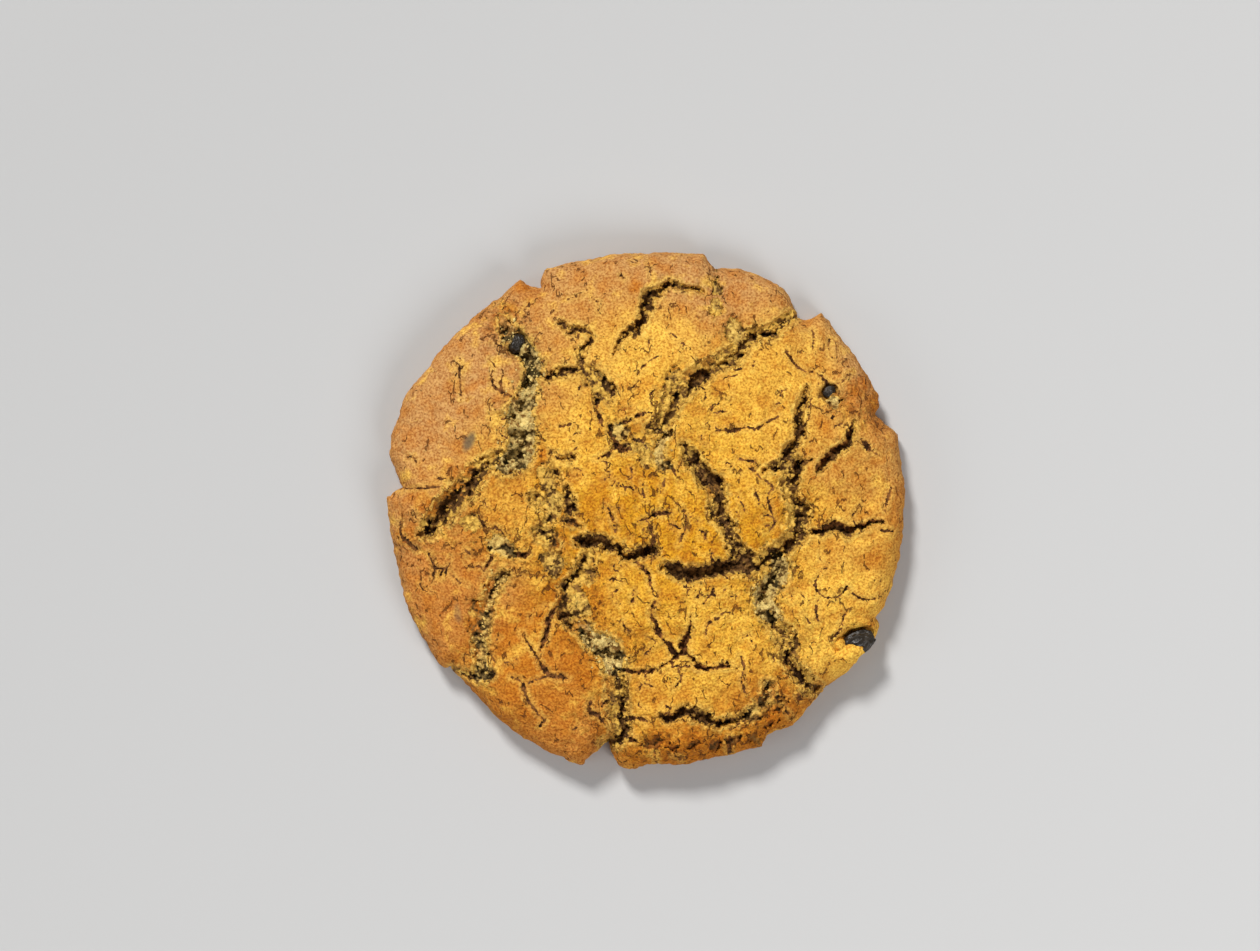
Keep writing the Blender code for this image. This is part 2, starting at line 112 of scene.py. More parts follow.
# The wide cracks, which follow those of the solid and add some between them: depth, share of pale
# torn crumb, how far a crumbly slope reaches beyond the crack on the left and on the right of its
# course, and the places that it passes through, as x, y and the width there.
CRACKS = (
    (3.2, 0.35, 0.3, 0.2, ((11.3, 43.9, 0.5), (7.7, 44.5, 0.8), (4.7, 45.1, 1.1), (2.7, 43.9, 1.3),
      (0.9, 42.5, 1.8), (0.1, 40.1, 2.0), (-0.7, 37.7, 1.9), (-1.7, 36.1, 1.7), (-3.9, 35.7, 1.0),
      (-6.3, 31.3, 0.5))),
    (2.6, 1.0, 0.9, 0.5, ((-28.5, 37.7, 1.0), (-27.1, 35.5, 1.6), (-25.3, 32.9, 2.3),
      (-23.3, 30.1, 2.0), (-22.5, 28.1, 1.7), (-23.7, 24.5, 1.6))),
    (3.6, 0.95, 1.8, 0.3, ((-23.4, 25.5, 1.4), (-24.6, 22.5, 2.0), (-25.8, 20.0, 2.6),
      (-25.4, 17.0, 3.0), (-25.3, 14.1, 3.0), (-26.0, 11.1, 2.4), (-28.2, 9.7, 1.8))),
    (3.4, 0.42, 0.4, 1.3, ((-28.2, 9.9, 1.6), (-32.1, 8.3, 2.2), (-34.4, 5.3, 2.8), (-37.9, 1.9, 2.6),
      (-40.9, -1.4, 3.0), (-43.1, -4.5, 1.4))),
    (2.8, 0.22, 0.2, 0.4, ((-22.5, 28.1, 1.4), (-20.1, 26.7, 1.3), (-17.9, 26.9, 1.5),
      (-15.5, 27.9, 1.6), (-13.5, 27.9, 0.9))),
    (2.2, 0.3, 0.2, 0.2, ((-16.9, 37.3, 0.6), (-14.7, 36.1, 1.1), (-12.1, 35.9, 1.3),
      (-10.7, 34.5, 1.2), (-11.9, 32.5, 1.1), (-12.9, 30.9, 1.5), (-12.5, 28.5, 1.0),
      (-11.7, 26.8, 0.6))),
    (2.2, 0.35, 0.1, 0.9, ((-11.6, 28.9, 0.6), (-9.1, 26.9, 1.0), (-7.9, 25.0, 1.2), (-6.7, 24.1, 1.3),
      (-6.9, 22.1, 0.7))),
    (3.7, 0.45, 0.4, 1.2, ((30.5, 38.9, 0.6), (28.1, 37.7, 0.9), (26.3, 36.1, 1.2), (24.3, 35.1, 1.4),
      (21.9, 34.7, 1.4), (19.9, 33.3, 1.6), (18.3, 31.5, 2.2), (16.1, 29.9, 2.3), (13.3, 28.3, 2.2),
      (10.5, 26.5, 2.4), (8.1, 24.5, 2.6), (6.1, 22.0, 2.5), (5.0, 19.7, 2.1), (3.7, 17.3, 1.7),
      (2.2, 16.1, 1.3))),
    (2.1, 0.85, 0.6, 0.3, ((4.3, 15.3, 1.3), (2.7, 12.9, 1.6), (2.5, 10.9, 1.2), (3.1, 8.9, 0.9),
      (4.7, 8.9, 0.6))),
    (3.6, 0.36, 0.3, 0.5, ((7.3, 13.3, 0.7), (8.7, 11.5, 2.0), (10.3, 9.3, 2.9), (11.9, 6.9, 3.0),
      (14.1, 5.3, 2.9), (14.5, 2.5, 2.9), (14.6, 0.1, 2.5), (16.2, -2.7, 2.6), (17.1, -5.5, 2.5),
      (18.5, -7.9, 2.5), (20.5, -9.9, 2.3))),
    (3.8, 0.12, 0.1, 0.3, ((3.1, -11.3, 0.9), (5.1, -10.9, 1.6), (6.1, -12.3, 2.2), (8.9, -12.5, 2.4),
      (11.9, -12.2, 2.4), (14.9, -11.3, 2.1), (18.5, -11.2, 2.3), (21.3, -11.2, 2.2),
      (24.3, -9.6, 2.0))),
    (3.6, 0.48, 1.1, 0.1, ((22.9, -10.1, 2.0), (25.7, -8.5, 2.4), (28.1, -7.3, 2.7), (30.2, -5.0, 2.8),
      (30.9, -2.0, 2.8), (30.9, 0.5, 2.6), (29.5, 2.9, 1.9), (28.9, 4.9, 1.9), (29.5, 7.3, 1.9),
      (30.3, 8.9, 2.1))),
    (3.1, 0.35, 0.1, 0.3, ((32.1, 24.3, 0.6), (30.9, 21.5, 1.5), (30.3, 19.3, 1.8), (30.7, 16.5, 1.8),
      (30.5, 14.5, 2.1), (29.3, 12.9, 2.0), (28.0, 11.1, 2.1), (28.5, 9.3, 2.3))),
    (2.4, 0.45, 0.1, 0.3, ((28.2, 10.1, 1.4), (25.7, 8.9, 1.4), (23.5, 7.9, 0.9))),
    (2.2, 0.3, 0.0, 0.0, ((30.3, 8.9, 1.5), (32.9, 10.3, 0.7))),
    (2.6, 0.2, 0.0, 0.3, ((34.3, 8.5, 0.9), (35.9, 10.3, 1.7), (38.3, 12.3, 1.5), (40.1, 13.5, 1.2),
      (40.9, 15.9, 0.8), (41.3, 17.7, 0.5))),
    (2.9, 0.1, 0.0, 0.2, ((33.3, -3.9, 0.9), (35.3, -3.9, 1.5), (37.3, -3.1, 1.2), (38.9, -3.1, 1.3),
      (40.1, -4.3, 1.5), (41.9, -3.5, 1.6), (43.3, -3.1, 1.3), (44.9, -2.3, 0.9), (46.9, -2.1, 0.6))),
    (3.5, 0.1, 0.1, 0.1, ((-13.9, -5.9, 1.4), (-12.3, -5.9, 2.2), (-10.1, -6.1, 1.8), (-8.3, -6.1, 1.5),
      (-6.9, -7.5, 1.5), (-5.5, -7.9, 1.6), (-4.3, -9.1, 1.6), (-2.3, -9.1, 1.8), (-0.1, -7.9, 2.0),
      (1.9, -8.2, 1.0))),
    (3.3, 0.35, 1.5, 0.2, ((-12.1, -9.1, 1.2), (-12.9, -11.1, 1.8), (-14.7, -13.3, 1.4),
      (-15.9, -15.1, 1.0), (-15.9, -17.9, 1.2), (-16.3, -20.5, 1.8), (-15.5, -22.3, 1.9),
      (-13.7, -23.5, 1.2), (-12.0, -24.0, 1.0))),
    (2.6, 1.0, 0.9, 0.5, ((-12.4, -24.1, 1.6), (-10.7, -25.9, 2.8), (-8.3, -27.1, 3.6),
      (-6.7, -29.5, 2.6), (-6.3, -31.5, 1.9))),
    (3.5, 0.45, 0.5, 1.4, ((-6.0, -31.1, 1.4), (-5.5, -33.9, 1.9), (-5.3, -36.3, 2.0),
      (-4.9, -38.7, 1.7), (-4.7, -41.5, 1.7), (-4.7, -44.3, 1.8), (-6.4, -46.5, 1.5))),
    (1.9, 0.78, 1.0, 0.7, ((-28.1, -12.5, 0.6), (-29.9, -14.3, 1.2), (-31.1, -17.1, 1.2),
      (-31.4, -19.9, 1.1), (-32.5, -22.3, 1.0), (-33.0, -25.1, 1.2), (-33.0, -27.9, 1.3),
      (-33.0, -30.7, 1.6), (-32.5, -32.7, 1.5))),
    (1.9, 0.3, 0.2, 0.1, ((-38.9, -31.7, 0.8), (-35.1, -32.7, 1.0), (-32.3, -33.2, 1.2),
      (-30.5, -32.6, 1.2))),
    (2.0, 0.05, 0.0, 0.0, ((1.9, -17.9, 0.5), (1.1, -20.3, 0.6), (1.9, -22.3, 0.7), (2.9, -24.7, 0.7),
      (4.5, -26.7, 0.7), (6.1, -28.5, 0.9), (7.5, -28.1, 1.1))),
    (2.3, 0.05, 0.0, 0.0, ((8.9, -20.7, 0.4), (8.9, -22.7, 0.6), (8.1, -25.1, 0.8), (7.5, -27.5, 1.1),
      (9.3, -29.3, 1.2), (11.1, -31.1, 1.1), (13.3, -31.3, 0.5), (15.7, -30.9, 0.9),
      (18.5, -31.3, 0.5))),
    (1.7, 0.05, 0.0, 0.0, ((6.1, -28.9, 1.1), (4.5, -30.1, 0.7), (1.9, -31.5, 0.7), (-1.1, -32.1, 0.5),
      (-4.7, -31.5, 0.8))),
    (3.3, 0.15, 0.1, 0.2, ((3.1, -40.5, 0.5), (4.7, -41.7, 0.9), (5.9, -41.1, 0.9), (7.1, -39.9, 1.2),
      (9.3, -40.1, 1.8), (11.7, -41.1, 1.9), (14.1, -42.5, 1.9), (16.5, -41.9, 1.5), (19.3, -41.3, 1.0),
      (21.1, -40.1, 1.1))),
    (2.4, 0.7, 0.5, 0.7, ((20.6, -40.5, 1.0), (22.7, -38.9, 1.3), (24.1, -36.9, 1.3),
      (24.3, -34.5, 0.8))),
    (2.6, 0.9, 1.3, 0.9, ((26.1, -9.9, 1.6), (26.1, -12.3, 1.8), (24.2, -14.9, 2.2), (23.3, -17.9, 2.2),
      (24.3, -20.9, 1.8))),
    (3.3, 0.55, 0.9, 0.5, ((24.3, -20.5, 1.6), (25.7, -22.9, 1.9), (27.5, -25.1, 2.1),
      (28.1, -27.5, 1.5), (28.1, -29.9, 1.4), (29.7, -31.9, 1.8), (31.9, -34.3, 1.8),
      (33.7, -35.5, 1.1))),
    (2.4, 0.4, 0.5, 0.3, ((-18.5, 8.8, 0.8), (-17.9, 7.1, 1.5), (-17.1, 5.5, 0.8))),
    (2.8, 0.2, 0.3, 0.5, ((-15.6, 4.8, 0.7), (-15.3, 2.6, 1.6), (-15.0, 0.6, 1.5), (-14.9, -0.8, 0.7))),
    (2.6, 0.2, 0.2, 0.2, ((-16.5, -1.9, 0.7), (-15.0, -2.5, 1.6), (-13.2, -3.1, 0.9))),
    (1.8, 0.6, 0.8, 0.8, ((-22.0, 2.5, 0.8), (-20.3, 1.2, 1.6), (-18.9, -0.1, 1.2),
      (-19.3, -2.2, 0.7))),
    (2.6, 0.35, 0.4, 0.5, ((-21.6, -3.8, 0.9), (-19.6, -5.2, 2.3), (-17.7, -6.7, 1.3))),
    (1.9, 0.25, 0.4, 0.1, ((-18.8, 11.3, 0.7), (-16.7, 10.2, 1.4), (-14.4, 10.6, 0.8))),
)

# The short fine cracks: depth, then x, y and width along each one
FINE_CRACKS = (
    (2.2, ((-2.1, -9.9, 1.0), (-0.5, -11.3, 1.1), (0.7, -12.9, 0.8), (1.1, -15.3, 0.5),
      (2.1, -16.3, 0.4))),
    (1.0, ((46.9, -3.9, 0.5), (49.3, -4.1, 0.6))),
    (1.9, ((-3.9, -41.3, 1.0), (-1.9, -41.3, 0.8), (0.1, -41.7, 0.8))),
    (1.6, ((-4.3, -44.5, 0.9), (-2.5, -45.5, 0.9))),
    (1.5, ((-18.3, -19.5, 1.3), (-19.3, -21.9, 1.3), (-19.5, -24.3, 1.0), (-20.5, -26.3, 0.9),
      (-20.9, -27.9, 0.7))),
    (1.4, ((-24.7, -24.1, 0.5), (-23.3, -26.5, 0.7), (-21.7, -28.9, 1.0), (-20.5, -30.9, 0.9),
      (-18.9, -32.7, 0.8), (-16.9, -33.1, 0.9), (-15.3, -33.3, 0.5))),
    (1.0, ((-23.1, -34.1, 0.4), (-20.1, -33.1, 0.5), (-18.5, -32.9, 0.5))),
    (1.2, ((-26.7, -33.1, 0.5), (-24.7, -34.1, 0.7), (-23.9, -36.7, 0.8), (-22.7, -38.7, 0.7),
      (-21.1, -40.7, 0.5), (-20.3, -41.9, 0.7), (-21.1, -43.1, 0.5))),
    (1.4, ((-33.1, -1.3, 0.5), (-31.7, -3.3, 0.9), (-29.1, -3.5, 0.5), (-28.1, -5.1, 0.4))),
    (2.4, ((-31.3, -6.3, 0.5), (-29.9, -7.7, 1.1), (-27.9, -7.3, 1.4), (-26.3, -8.5, 0.9),
      (-24.1, -8.7, 1.1), (-23.1, -8.3, 0.5))),
    (2.0, ((-30.1, -8.1, 1.0), (-30.9, -10.1, 1.1), (-32.1, -11.9, 0.7))),
    (1.0, ((-35.9, -7.7, 0.4), (-34.9, -8.7, 0.4))),
    (1.0, ((-35.7, -9.9, 0.4), (-34.9, -11.1, 0.5), (-32.9, -11.1, 0.5), (-31.9, -12.3, 0.4))),
    (2.4, ((-7.1, 16.7, 0.7), (-6.7, 14.9, 1.4), (-5.9, 13.3, 1.3), (-4.5, 12.1, 1.2),
      (-2.9, 12.1, 0.7))),
    (1.8, ((-5.5, 17.1, 0.7), (-3.3, 17.9, 1.0), (-1.7, 18.7, 1.1), (-0.1, 19.5, 0.5),
      (1.1, 19.5, 0.4))),
    (1.8, ((-9.5, 22.5, 0.7), (-9.7, 20.5, 1.2), (-9.1, 18.5, 0.9), (-8.7, 17.1, 0.5))),
    (1.9, ((-9.9, 10.1, 0.7), (-7.9, 11.1, 1.3), (-6.5, 12.1, 0.7))),
    (0.9, ((-7.9, 9.9, 0.6), (-7.5, 7.7, 0.4), (-7.1, 6.5, 0.3))),
    (1.6, ((-8.1, 1.3, 0.4), (-6.9, -0.5, 0.8), (-6.1, -2.7, 1.0), (-6.1, -4.5, 0.5))),
    (1.8, ((-1.5, -2.1, 0.4), (0.3, -1.5, 0.8), (2.3, -0.5, 1.1), (4.1, -0.5, 0.8), (5.7, -0.1, 0.4))),
    (1.4, ((0.5, -2.3, 0.5), (1.1, -3.9, 0.8), (1.5, -5.3, 0.8), (0.9, -7.1, 0.8))),
    (1.4, ((6.1, 1.5, 0.5), (7.5, 0.1, 1.0), (8.1, -2.3, 1.1), (7.3, -4.7, 0.7), (6.5, -6.9, 0.5))),
    (1.4, ((-2.3, 14.1, 0.6), (-0.9, 13.9, 0.8), (0.3, 12.5, 0.6))),
    (1.7, ((27.9, 31.5, 0.6), (29.9, 29.1, 0.7), (31.5, 27.9, 0.8), (33.9, 27.3, 0.9),
      (35.7, 26.1, 1.0), (36.3, 24.6, 1.3))),
    (1.4, ((37.5, 25.0, 0.8), (38.9, 25.6, 0.6), (40.3, 26.9, 0.6))),
    (0.9, ((34.3, -17.9, 0.4), (33.9, -19.9, 0.4), (34.3, -21.9, 0.4))),
    (0.9, ((31.1, -20.3, 0.4), (32.7, -22.3, 0.4))),
    (1.2, ((33.5, -14.5, 0.4), (34.3, -16.3, 0.4), (36.3, -17.3, 0.5), (38.5, -16.9, 0.7),
      (40.1, -15.1, 0.8))),
    (1.2, ((40.1, -15.1, 0.9), (41.1, -16.3, 0.8), (42.9, -17.5, 0.7), (44.9, -17.7, 0.6),
      (47.1, -17.3, 0.4))),
    (1.2, ((40.1, -19.9, 0.5), (39.1, -21.9, 0.7), (38.9, -23.5, 0.7), (37.1, -25.5, 0.4))),
    (1.3, ((13.9, 15.9, 0.4), (15.7, 15.9, 0.7), (17.9, 16.1, 0.7), (20.5, 16.5, 0.9),
      (22.1, 16.3, 0.7), (23.9, 17.5, 0.6), (26.5, 18.7, 0.4))),
    (0.9, ((18.5, 10.3, 0.4), (20.5, 9.9, 0.5), (22.3, 9.5, 0.4), (20.9, 8.3, 0.4))),
    (0.9, ((23.7, 6.1, 0.4), (25.3, 4.5, 0.5), (24.3, 3.1, 0.4), (24.7, 1.1, 0.5), (25.1, -0.9, 0.4))),
    (0.8, ((-36.9, 30.5, 0.3), (-37.1, 27.7, 0.5), (-36.9, 24.9, 0.5), (-36.7, 22.1, 0.3))),
    (1.1, ((-31.1, 30.1, 0.5), (-30.1, 28.7, 0.6), (-30.7, 26.7, 0.6), (-30.1, 24.7, 0.7),
      (-28.7, 23.7, 0.6), (-26.7, 22.7, 0.6))),
    (0.9, ((-31.7, 21.9, 0.4), (-30.7, 19.7, 0.6), (-30.9, 17.9, 0.4))),
    (0.9, ((-43.1, -8.5, 0.4), (-42.5, -10.1, 0.5), (-41.7, -11.3, 0.5), (-40.1, -11.5, 0.4),
      (-39.1, -10.9, 0.4), (-38.9, -9.1, 0.3))),
    (0.8, ((-42.1, -11.5, 0.4), (-42.3, -13.9, 0.4))),
    (0.9, ((-38.9, -12.1, 0.5), (-37.5, -13.9, 0.5), (-35.3, -14.7, 0.4))),
    (1.0, ((-48.7, -2.1, 0.5), (-48.7, -4.7, 0.5), (-47.1, -6.5, 0.6), (-45.7, -7.9, 0.9))),
    (0.9, ((11.5, -18.3, 0.4), (12.7, -16.9, 0.5), (13.5, -15.5, 0.3))),
    (0.9, ((10.3, -17.3, 0.4), (10.9, -15.5, 0.3))),
    (1.0, ((-2.3, -15.9, 0.5), (-2.7, -17.9, 0.4))),
    (0.9, ((11.9, -24.5, 0.4), (12.3, -22.7, 0.5), (13.7, -21.5, 0.5))),
    (0.9, ((6.5, -31.5, 0.4), (7.1, -33.5, 0.5), (5.5, -35.5, 0.4))),
    (0.9, ((18.9, -28.9, 0.5), (19.5, -31.1, 0.5), (19.1, -33.9, 0.6), (19.9, -36.3, 0.4))),
    (0.9, ((18.9, -25.3, 0.4), (20.7, -24.8, 0.4), (21.1, -26.6, 0.4))),
    (0.9, ((0.5, 49.7, 0.4), (0.9, 48.1, 0.5), (1.1, 46.7, 0.3))),
    (0.9, ((-4.9, 46.9, 0.4), (-4.3, 46.1, 0.5))),
    (0.9, ((-1.9, 26.7, 0.5), (-0.9, 28.1, 0.7), (0.7, 29.7, 0.7), (2.3, 30.7, 0.4))),
    (0.7, ((0.5, 32.3, 0.3), (0.7, 33.9, 0.4))),
    (0.7, ((-9.5, 41.4, 0.4), (-9.4, 39.6, 0.5))),
    (0.7, ((-15.4, 42.1, 0.4), (-12.6, 43.0, 0.4))),
    (0.7, ((4.9, 35.3, 0.4), (6.1, 34.5, 0.4))),
    (0.7, ((6.7, 33.3, 0.4), (7.7, 33.1, 0.4))),
    (0.7, ((-2.7, 24.3, 0.4), (-1.7, 25.5, 0.3))),
    (0.9, ((36.7, 34.1, 0.4), (36.5, 32.1, 0.5), (37.3, 30.3, 0.4))),
    (0.9, ((33.1, 35.9, 0.6), (33.5, 34.1, 0.5), (33.3, 32.3, 0.4))),
    (1.0, ((4.3, 9.5, 0.6), (5.5, 8.1, 0.5), (6.1, 6.9, 0.4))),
    (0.9, ((3.7, 6.3, 0.5), (3.5, 4.9, 0.5))),
    (0.9, ((-0.5, 5.5, 0.5), (-0.5, 3.3, 0.5), (0.1, 1.9, 0.4))),
    (0.8, ((-5.9, 6.1, 0.4), (-6.7, 4.7, 0.4))),
    (0.8, ((-13.7, 12.7, 0.4), (-14.7, 11.5, 0.5), (-14.3, 10.5, 0.4))),
    (1.1, ((-17.1, 16.7, 0.7), (-15.1, 17.1, 0.7), (-14.1, 17.7, 0.4))),
    (0.9, ((42.9, 14.1, 0.4), (44.5, 12.3, 0.9), (46.5, 10.9, 0.6))),
    (1.0, ((47.7, 0.1, 0.9), (48.1, 2.1, 0.7), (48.9, 4.5, 0.5))),
    (0.8, ((-7.1, -14.9, 0.4), (-5.7, -13.1, 0.4))),
    (1.2, ((16.9, -44.9, 1.0), (16.5, -46.7, 0.9), (16.9, -48.3, 0.7))),
    (1.1, ((1.7, -48.3, 0.9), (2.1, -50.3, 1.0))),
    (1.0, ((5.5, -48.9, 0.6), (7.1, -49.5, 0.7))),
    (1.0, ((-10.9, -37.9, 0.5), (-11.1, -39.9, 0.9), (-9.5, -40.7, 0.9), (-8.3, -42.3, 0.6))),
    (1.3, ((28.1, -39.9, 0.9), (29.1, -41.3, 0.7))),
    (1.3, ((30.3, -36.7, 0.7), (30.7, -37.7, 0.7))),
    (0.9, ((-48.9, 4.3, 0.7), (-44.2, 4.5, 0.5), (-41.1, 4.7, 0.4), (-38.7, 4.3, 0.4))),
)

# Rough patches where the crust has come off: x, y, half axes, turn in degrees, share of crumb,
# depth
CRUMB_PATCHES = (
    (-19.3, 6.0, 2.0, 3.0, 20.0, 0.55, 0.6), (-18.4, 0.6, 2.4, 4.0, -5.0, 0.65, 0.7),
    (-18.9, -5.5, 2.0, 3.0, 5.0, 0.60, 0.7), (-18.2, -10.3, 2.6, 3.0, 0.0, 0.65, 0.7),
    (14.2, 45.0, 0.9, 3.2, -5.0, 0.7, 0.5), (14.0, 39.6, 1.3, 1.8, 20.0, 0.6, 0.5),
    (17.6, 35.4, 2.2, 2.4, 30.0, 0.7, 0.6), (24.6, -15.5, 2.6, 3.8, 0.0, 0.75, 0.7),
    (-12.9, -18.3, 2.1, 3.4, 15.0, 0.65, 0.7), (-9.5, -27.3, 2.8, 2.2, -35.0, 1.0, 0.8),
    (-23.4, 31.8, 1.6, 2.8, 30.0, 0.9, 0.6), (37.5, 21.6, 1.9, 1.6, 0.0, 0.9, 0.5),
    (-5.0, 15.8, 2.0, 1.8, 0.0, 0.75, 0.5), (-9.7, 24.5, 1.7, 2.8, 10.0, 0.6, 0.5),
    (-34.5, -2.5, 2.0, 1.4, -30.0, 0.5, 0.5), (-29.0, -7.3, 3.4, 2.4, -20.0, 0.8, 0.5),
    (-4.6, -43.0, 1.6, 2.2, 0.0, 0.5, 0.7), (26.6, -38.6, 1.8, 1.3, 30.0, 0.6, 0.6),
    (0.3, 10.3, 1.4, 1.4, 0.0, 0.6, 0.4), (-37.0, 6.6, 1.4, 1.0, 30.0, 0.5, 0.5),
    (30.0, -27.5, 1.0, 2.4, 10.0, 0.5, 0.4), (-24.1, 16.5, 2.0, 4.6, 0.0, 0.9, 0.9),
    (22.0, -40.6, 2.0, 1.4, 10.0, 0.5, 0.5), (-11.5, -13.0, 1.6, 2.6, 0.0, 0.55, 0.5),
    (-33.4, -22.0, 1.5, 4.0, 0.0, 0.45, 0.5),
    (5.5, 26.0, 1.4, 2.4, -40.0, 0.6, 0.5), (-1.0, 12.6, 2.6, 1.2, -15.0, 0.6, 0.5),
    (1.5, -46.6, 1.5, 0.8, 20.0, 0.15, 0.9), (5.4, -47.2, 1.2, 0.9, -30.0, 0.15, 0.8),
    (9.6, -46.6, 1.7, 0.8, 10.0, 0.2, 0.9), (13.6, -46.8, 1.3, 0.8, 40.0, 0.15, 0.8),
    (17.8, -45.4, 1.5, 0.9, 15.0, 0.15, 0.9), (21.4, -45.2, 1.2, 0.7, -20.0, 0.2, 0.7),
    (24.8, -42.5, 1.4, 0.8, 30.0, 0.15, 0.8), (28.0, -38.4, 1.2, 0.8, 50.0, 0.2, 0.8),
)

# Orange-brown toasted places: x, y, radius, strength
TOASTED = (
    (-16.8, -6.4, 1.8, 1.0), (-4.1, 20.4, 1.7, 0.7), (-14.0, 7.0, 1.8, 0.8), (-7.9, 2.2, 1.4, 0.7),
    (5.2, -3.0, 1.8, 0.7), (-20.1, 11.0, 1.7, 0.8), (-28.1, 38.6, 3.4, 0.8), (-24.6, 45.0, 2.0, 0.9),
    (-1.9, 44.4, 1.5, 0.8), (46.0, 21.8, 2.4, 1.0), (42.3, 24.6, 2.0, 0.7), (-47.5, -5.0, 2.4, 0.8),
    (-31.0, 6.5, 2.0, 0.7), (-37.0, 4.0, 2.4, 0.9), (-42.5, 0.8, 2.6, 0.9), (-44.8, 2.8, 2.0, 0.6),
    (-14.0, -29.0, 3.0, 0.5), (-13.0, -23.0, 1.8, 0.7), (-8.5, -36.0, 2.2, 0.8),
    (-8.5, -43.5, 2.4, 0.8), (5.0, -48.6, 4.0, 0.9), (12.0, -48.0, 4.0, 0.7), (-2.0, -49.0, 2.4, 0.8),
    (27.0, -36.0, 2.6, 0.8), (30.5, -39.0, 2.6, 0.8), (35.0, -34.5, 2.2, 0.6), (24.0, -43.0, 3.0, 0.6),
    (-30.0, -20.0, 1.6, 0.6), (-26.0, -24.0, 3.0, 0.3), (36.0, 16.8, 1.6, 0.6), (10.4, 20.0, 1.6, 0.5),
    (-22.0, -20.0, 4.0, 0.3), (-9.0, -1.0, 3.0, 0.35), (43.0, -20.8, 2.0, 0.5), (44.6, -22.6, 1.6, 0.7),
    (-34.4, -10.5, 2.0, 0.4), (-17.4, 17.8, 1.4, 0.3), (2.0, -46.0, 3.0, 0.6), (20.0, -47.0, 3.0, 0.6),
    (30.6, -24.0, 2.0, 0.3), (27.5, -32.0, 1.8, 0.6), (-41.0, 35.5, 4.0, 0.35), (-33.0, 41.5, 4.0, 0.4),
    (8.0, -45.0, 2.0, 0.9), (15.5, -46.0, 2.2, 0.9), (25.5, -40.5, 2.4, 1.0), (23.0, -37.0, 1.8, 0.8),
    (-27.0, 36.0, 2.4, 0.6), (-23.0, 42.0, 2.6, 0.5), (40.0, 20.5, 2.0, 0.5), (-38.5, 7.5, 2.0, 0.6),
    (-14.5, -2.0, 1.6, 0.7), (-10.0, 4.5, 1.6, 0.5), (-3.0, -5.0, 1.6, 0.5), (-21.0, -31.0, 2.4, 0.5),
    (-31.0, -15.0, 1.8, 1.0), (-34.2, -23.0, 2.0, 1.0), (-12.0, -33.5, 1.8, 0.7), (45.5, -9.0, 2.0, 0.4),
    (-32.6, -19.0, 1.8, 1.0), (-34.4, -28.0, 2.0, 0.8), (-35.0, 8.0, 1.6, 0.9), (-39.5, 2.5, 1.8, 0.9),
    (-17.2, -17.5, 1.4, 0.9), (-17.4, -21.0, 1.4, 0.8), (-7.5, -34.5, 1.6, 0.7), (-20.5, -20.5, 1.6, 0.6),
    (-26.4, 22.5, 1.4, 0.6), (8.6, 27.0, 1.4, 0.5), (12.2, 30.0, 1.4, 0.5), (13.0, 4.0, 1.6, 0.6),
)

# Broad zones of colour: x, y, reach, strength
GOLDEN_ZONES = (
    (6.0, -8.0, 38.0, 1.0), (22.0, -22.0, 26.0, 0.9), (12.0, -38.0, 22.0, 0.9),
    (14.0, 12.0, 26.0, 0.8), (-22.0, 2.0, 18.0, 0.7), (-6.0, 24.0, 20.0, 0.5),
    (38.0, -10.0, 22.0, 0.6), (36.0, 6.0, 18.0, 0.5),
)
# Brighter yellow places, partly the crust's own tone and partly painted light where the crust is lit more
# brightly
BRIGHT_AND_LIT_ZONES = (
    (36.0, -23.0, 13.0, 1.0), (1.0, 27.0, 13.0, 0.7), (17.0, 18.0, 17.0, 0.6),
    (38.0, -8.0, 11.0, 0.35), (-12.0, 14.0, 8.0, 0.6), (31.0, 26.0, 10.0, 0.3),
    (-26.0, -6.0, 8.0, 0.5), (14.0, -24.0, 12.0, 0.6), (8.0, -36.0, 13.0, 0.7),
    (18.0, -33.0, 11.0, 0.6), (-3.0, -20.0, 9.0, 0.4),
)
BURNT_ZONES = (
    (-24.0, -34.0, 22.0, 1.0), (-38.0, -18.0, 17.0, 0.8), (-14.0, -44.0, 13.0, 0.8),
    (8.0, -50.0, 10.0, 1.0), (24.0, -43.0, 10.0, 1.0), (-20.0, -22.0, 14.0, 0.4),
    (-50.0, 0.0, 8.0, 0.3), (-30.0, 40.0, 8.0, 0.2), (46.0, 20.0, 7.0, 0.6),
    (51.0, 0.0, 7.0, 0.6),
    (-12.0, -8.0, 8.0, 0.35),
)

# Raisins under the skin of the crust, which only tint it: x, y, half axes, turn, strength
UNDER_SKIN = (
    (-35.0, 13.8, 1.0, 2.0, -32.0, 0.85), (-37.4, -20.3, 0.8, 2.0, 5.0, 0.45),
)

# Raisins as in the CAD: middle, half axes, turn about Z in degrees
RAISINS = {
    "raisin_rim": ((42.3, -26.4, 7.5), (3.9, 2.6, 2.1), 26.0),
    "raisin_north_west": ((-25.6, 33.2, 9.9), (2.2, 1.6, 1.4), 60.0),
    "raisin_north_east": ((36.5, 23.7, 10.4), (1.5, 1.1, 1.0), 40.0),
}

# Dough that stands over the raisins: x, y, height, half axes, turn
DOUGH_MOUNDS = (
    (40.7, -28.3, 10.1, 2.9, 1.6, 26.0),
    (38.6, -26.6, 9.9, 1.1, 1.2, 20.0),
    (-27.4, 33.8, 11.3, 1.3, 1.0, 60.0),
    (-23.9, 32.4, 11.3, 1.2, 1.0, 60.0),
    (37.2, 22.9, 11.3, 1.1, 0.7, 40.0),
)

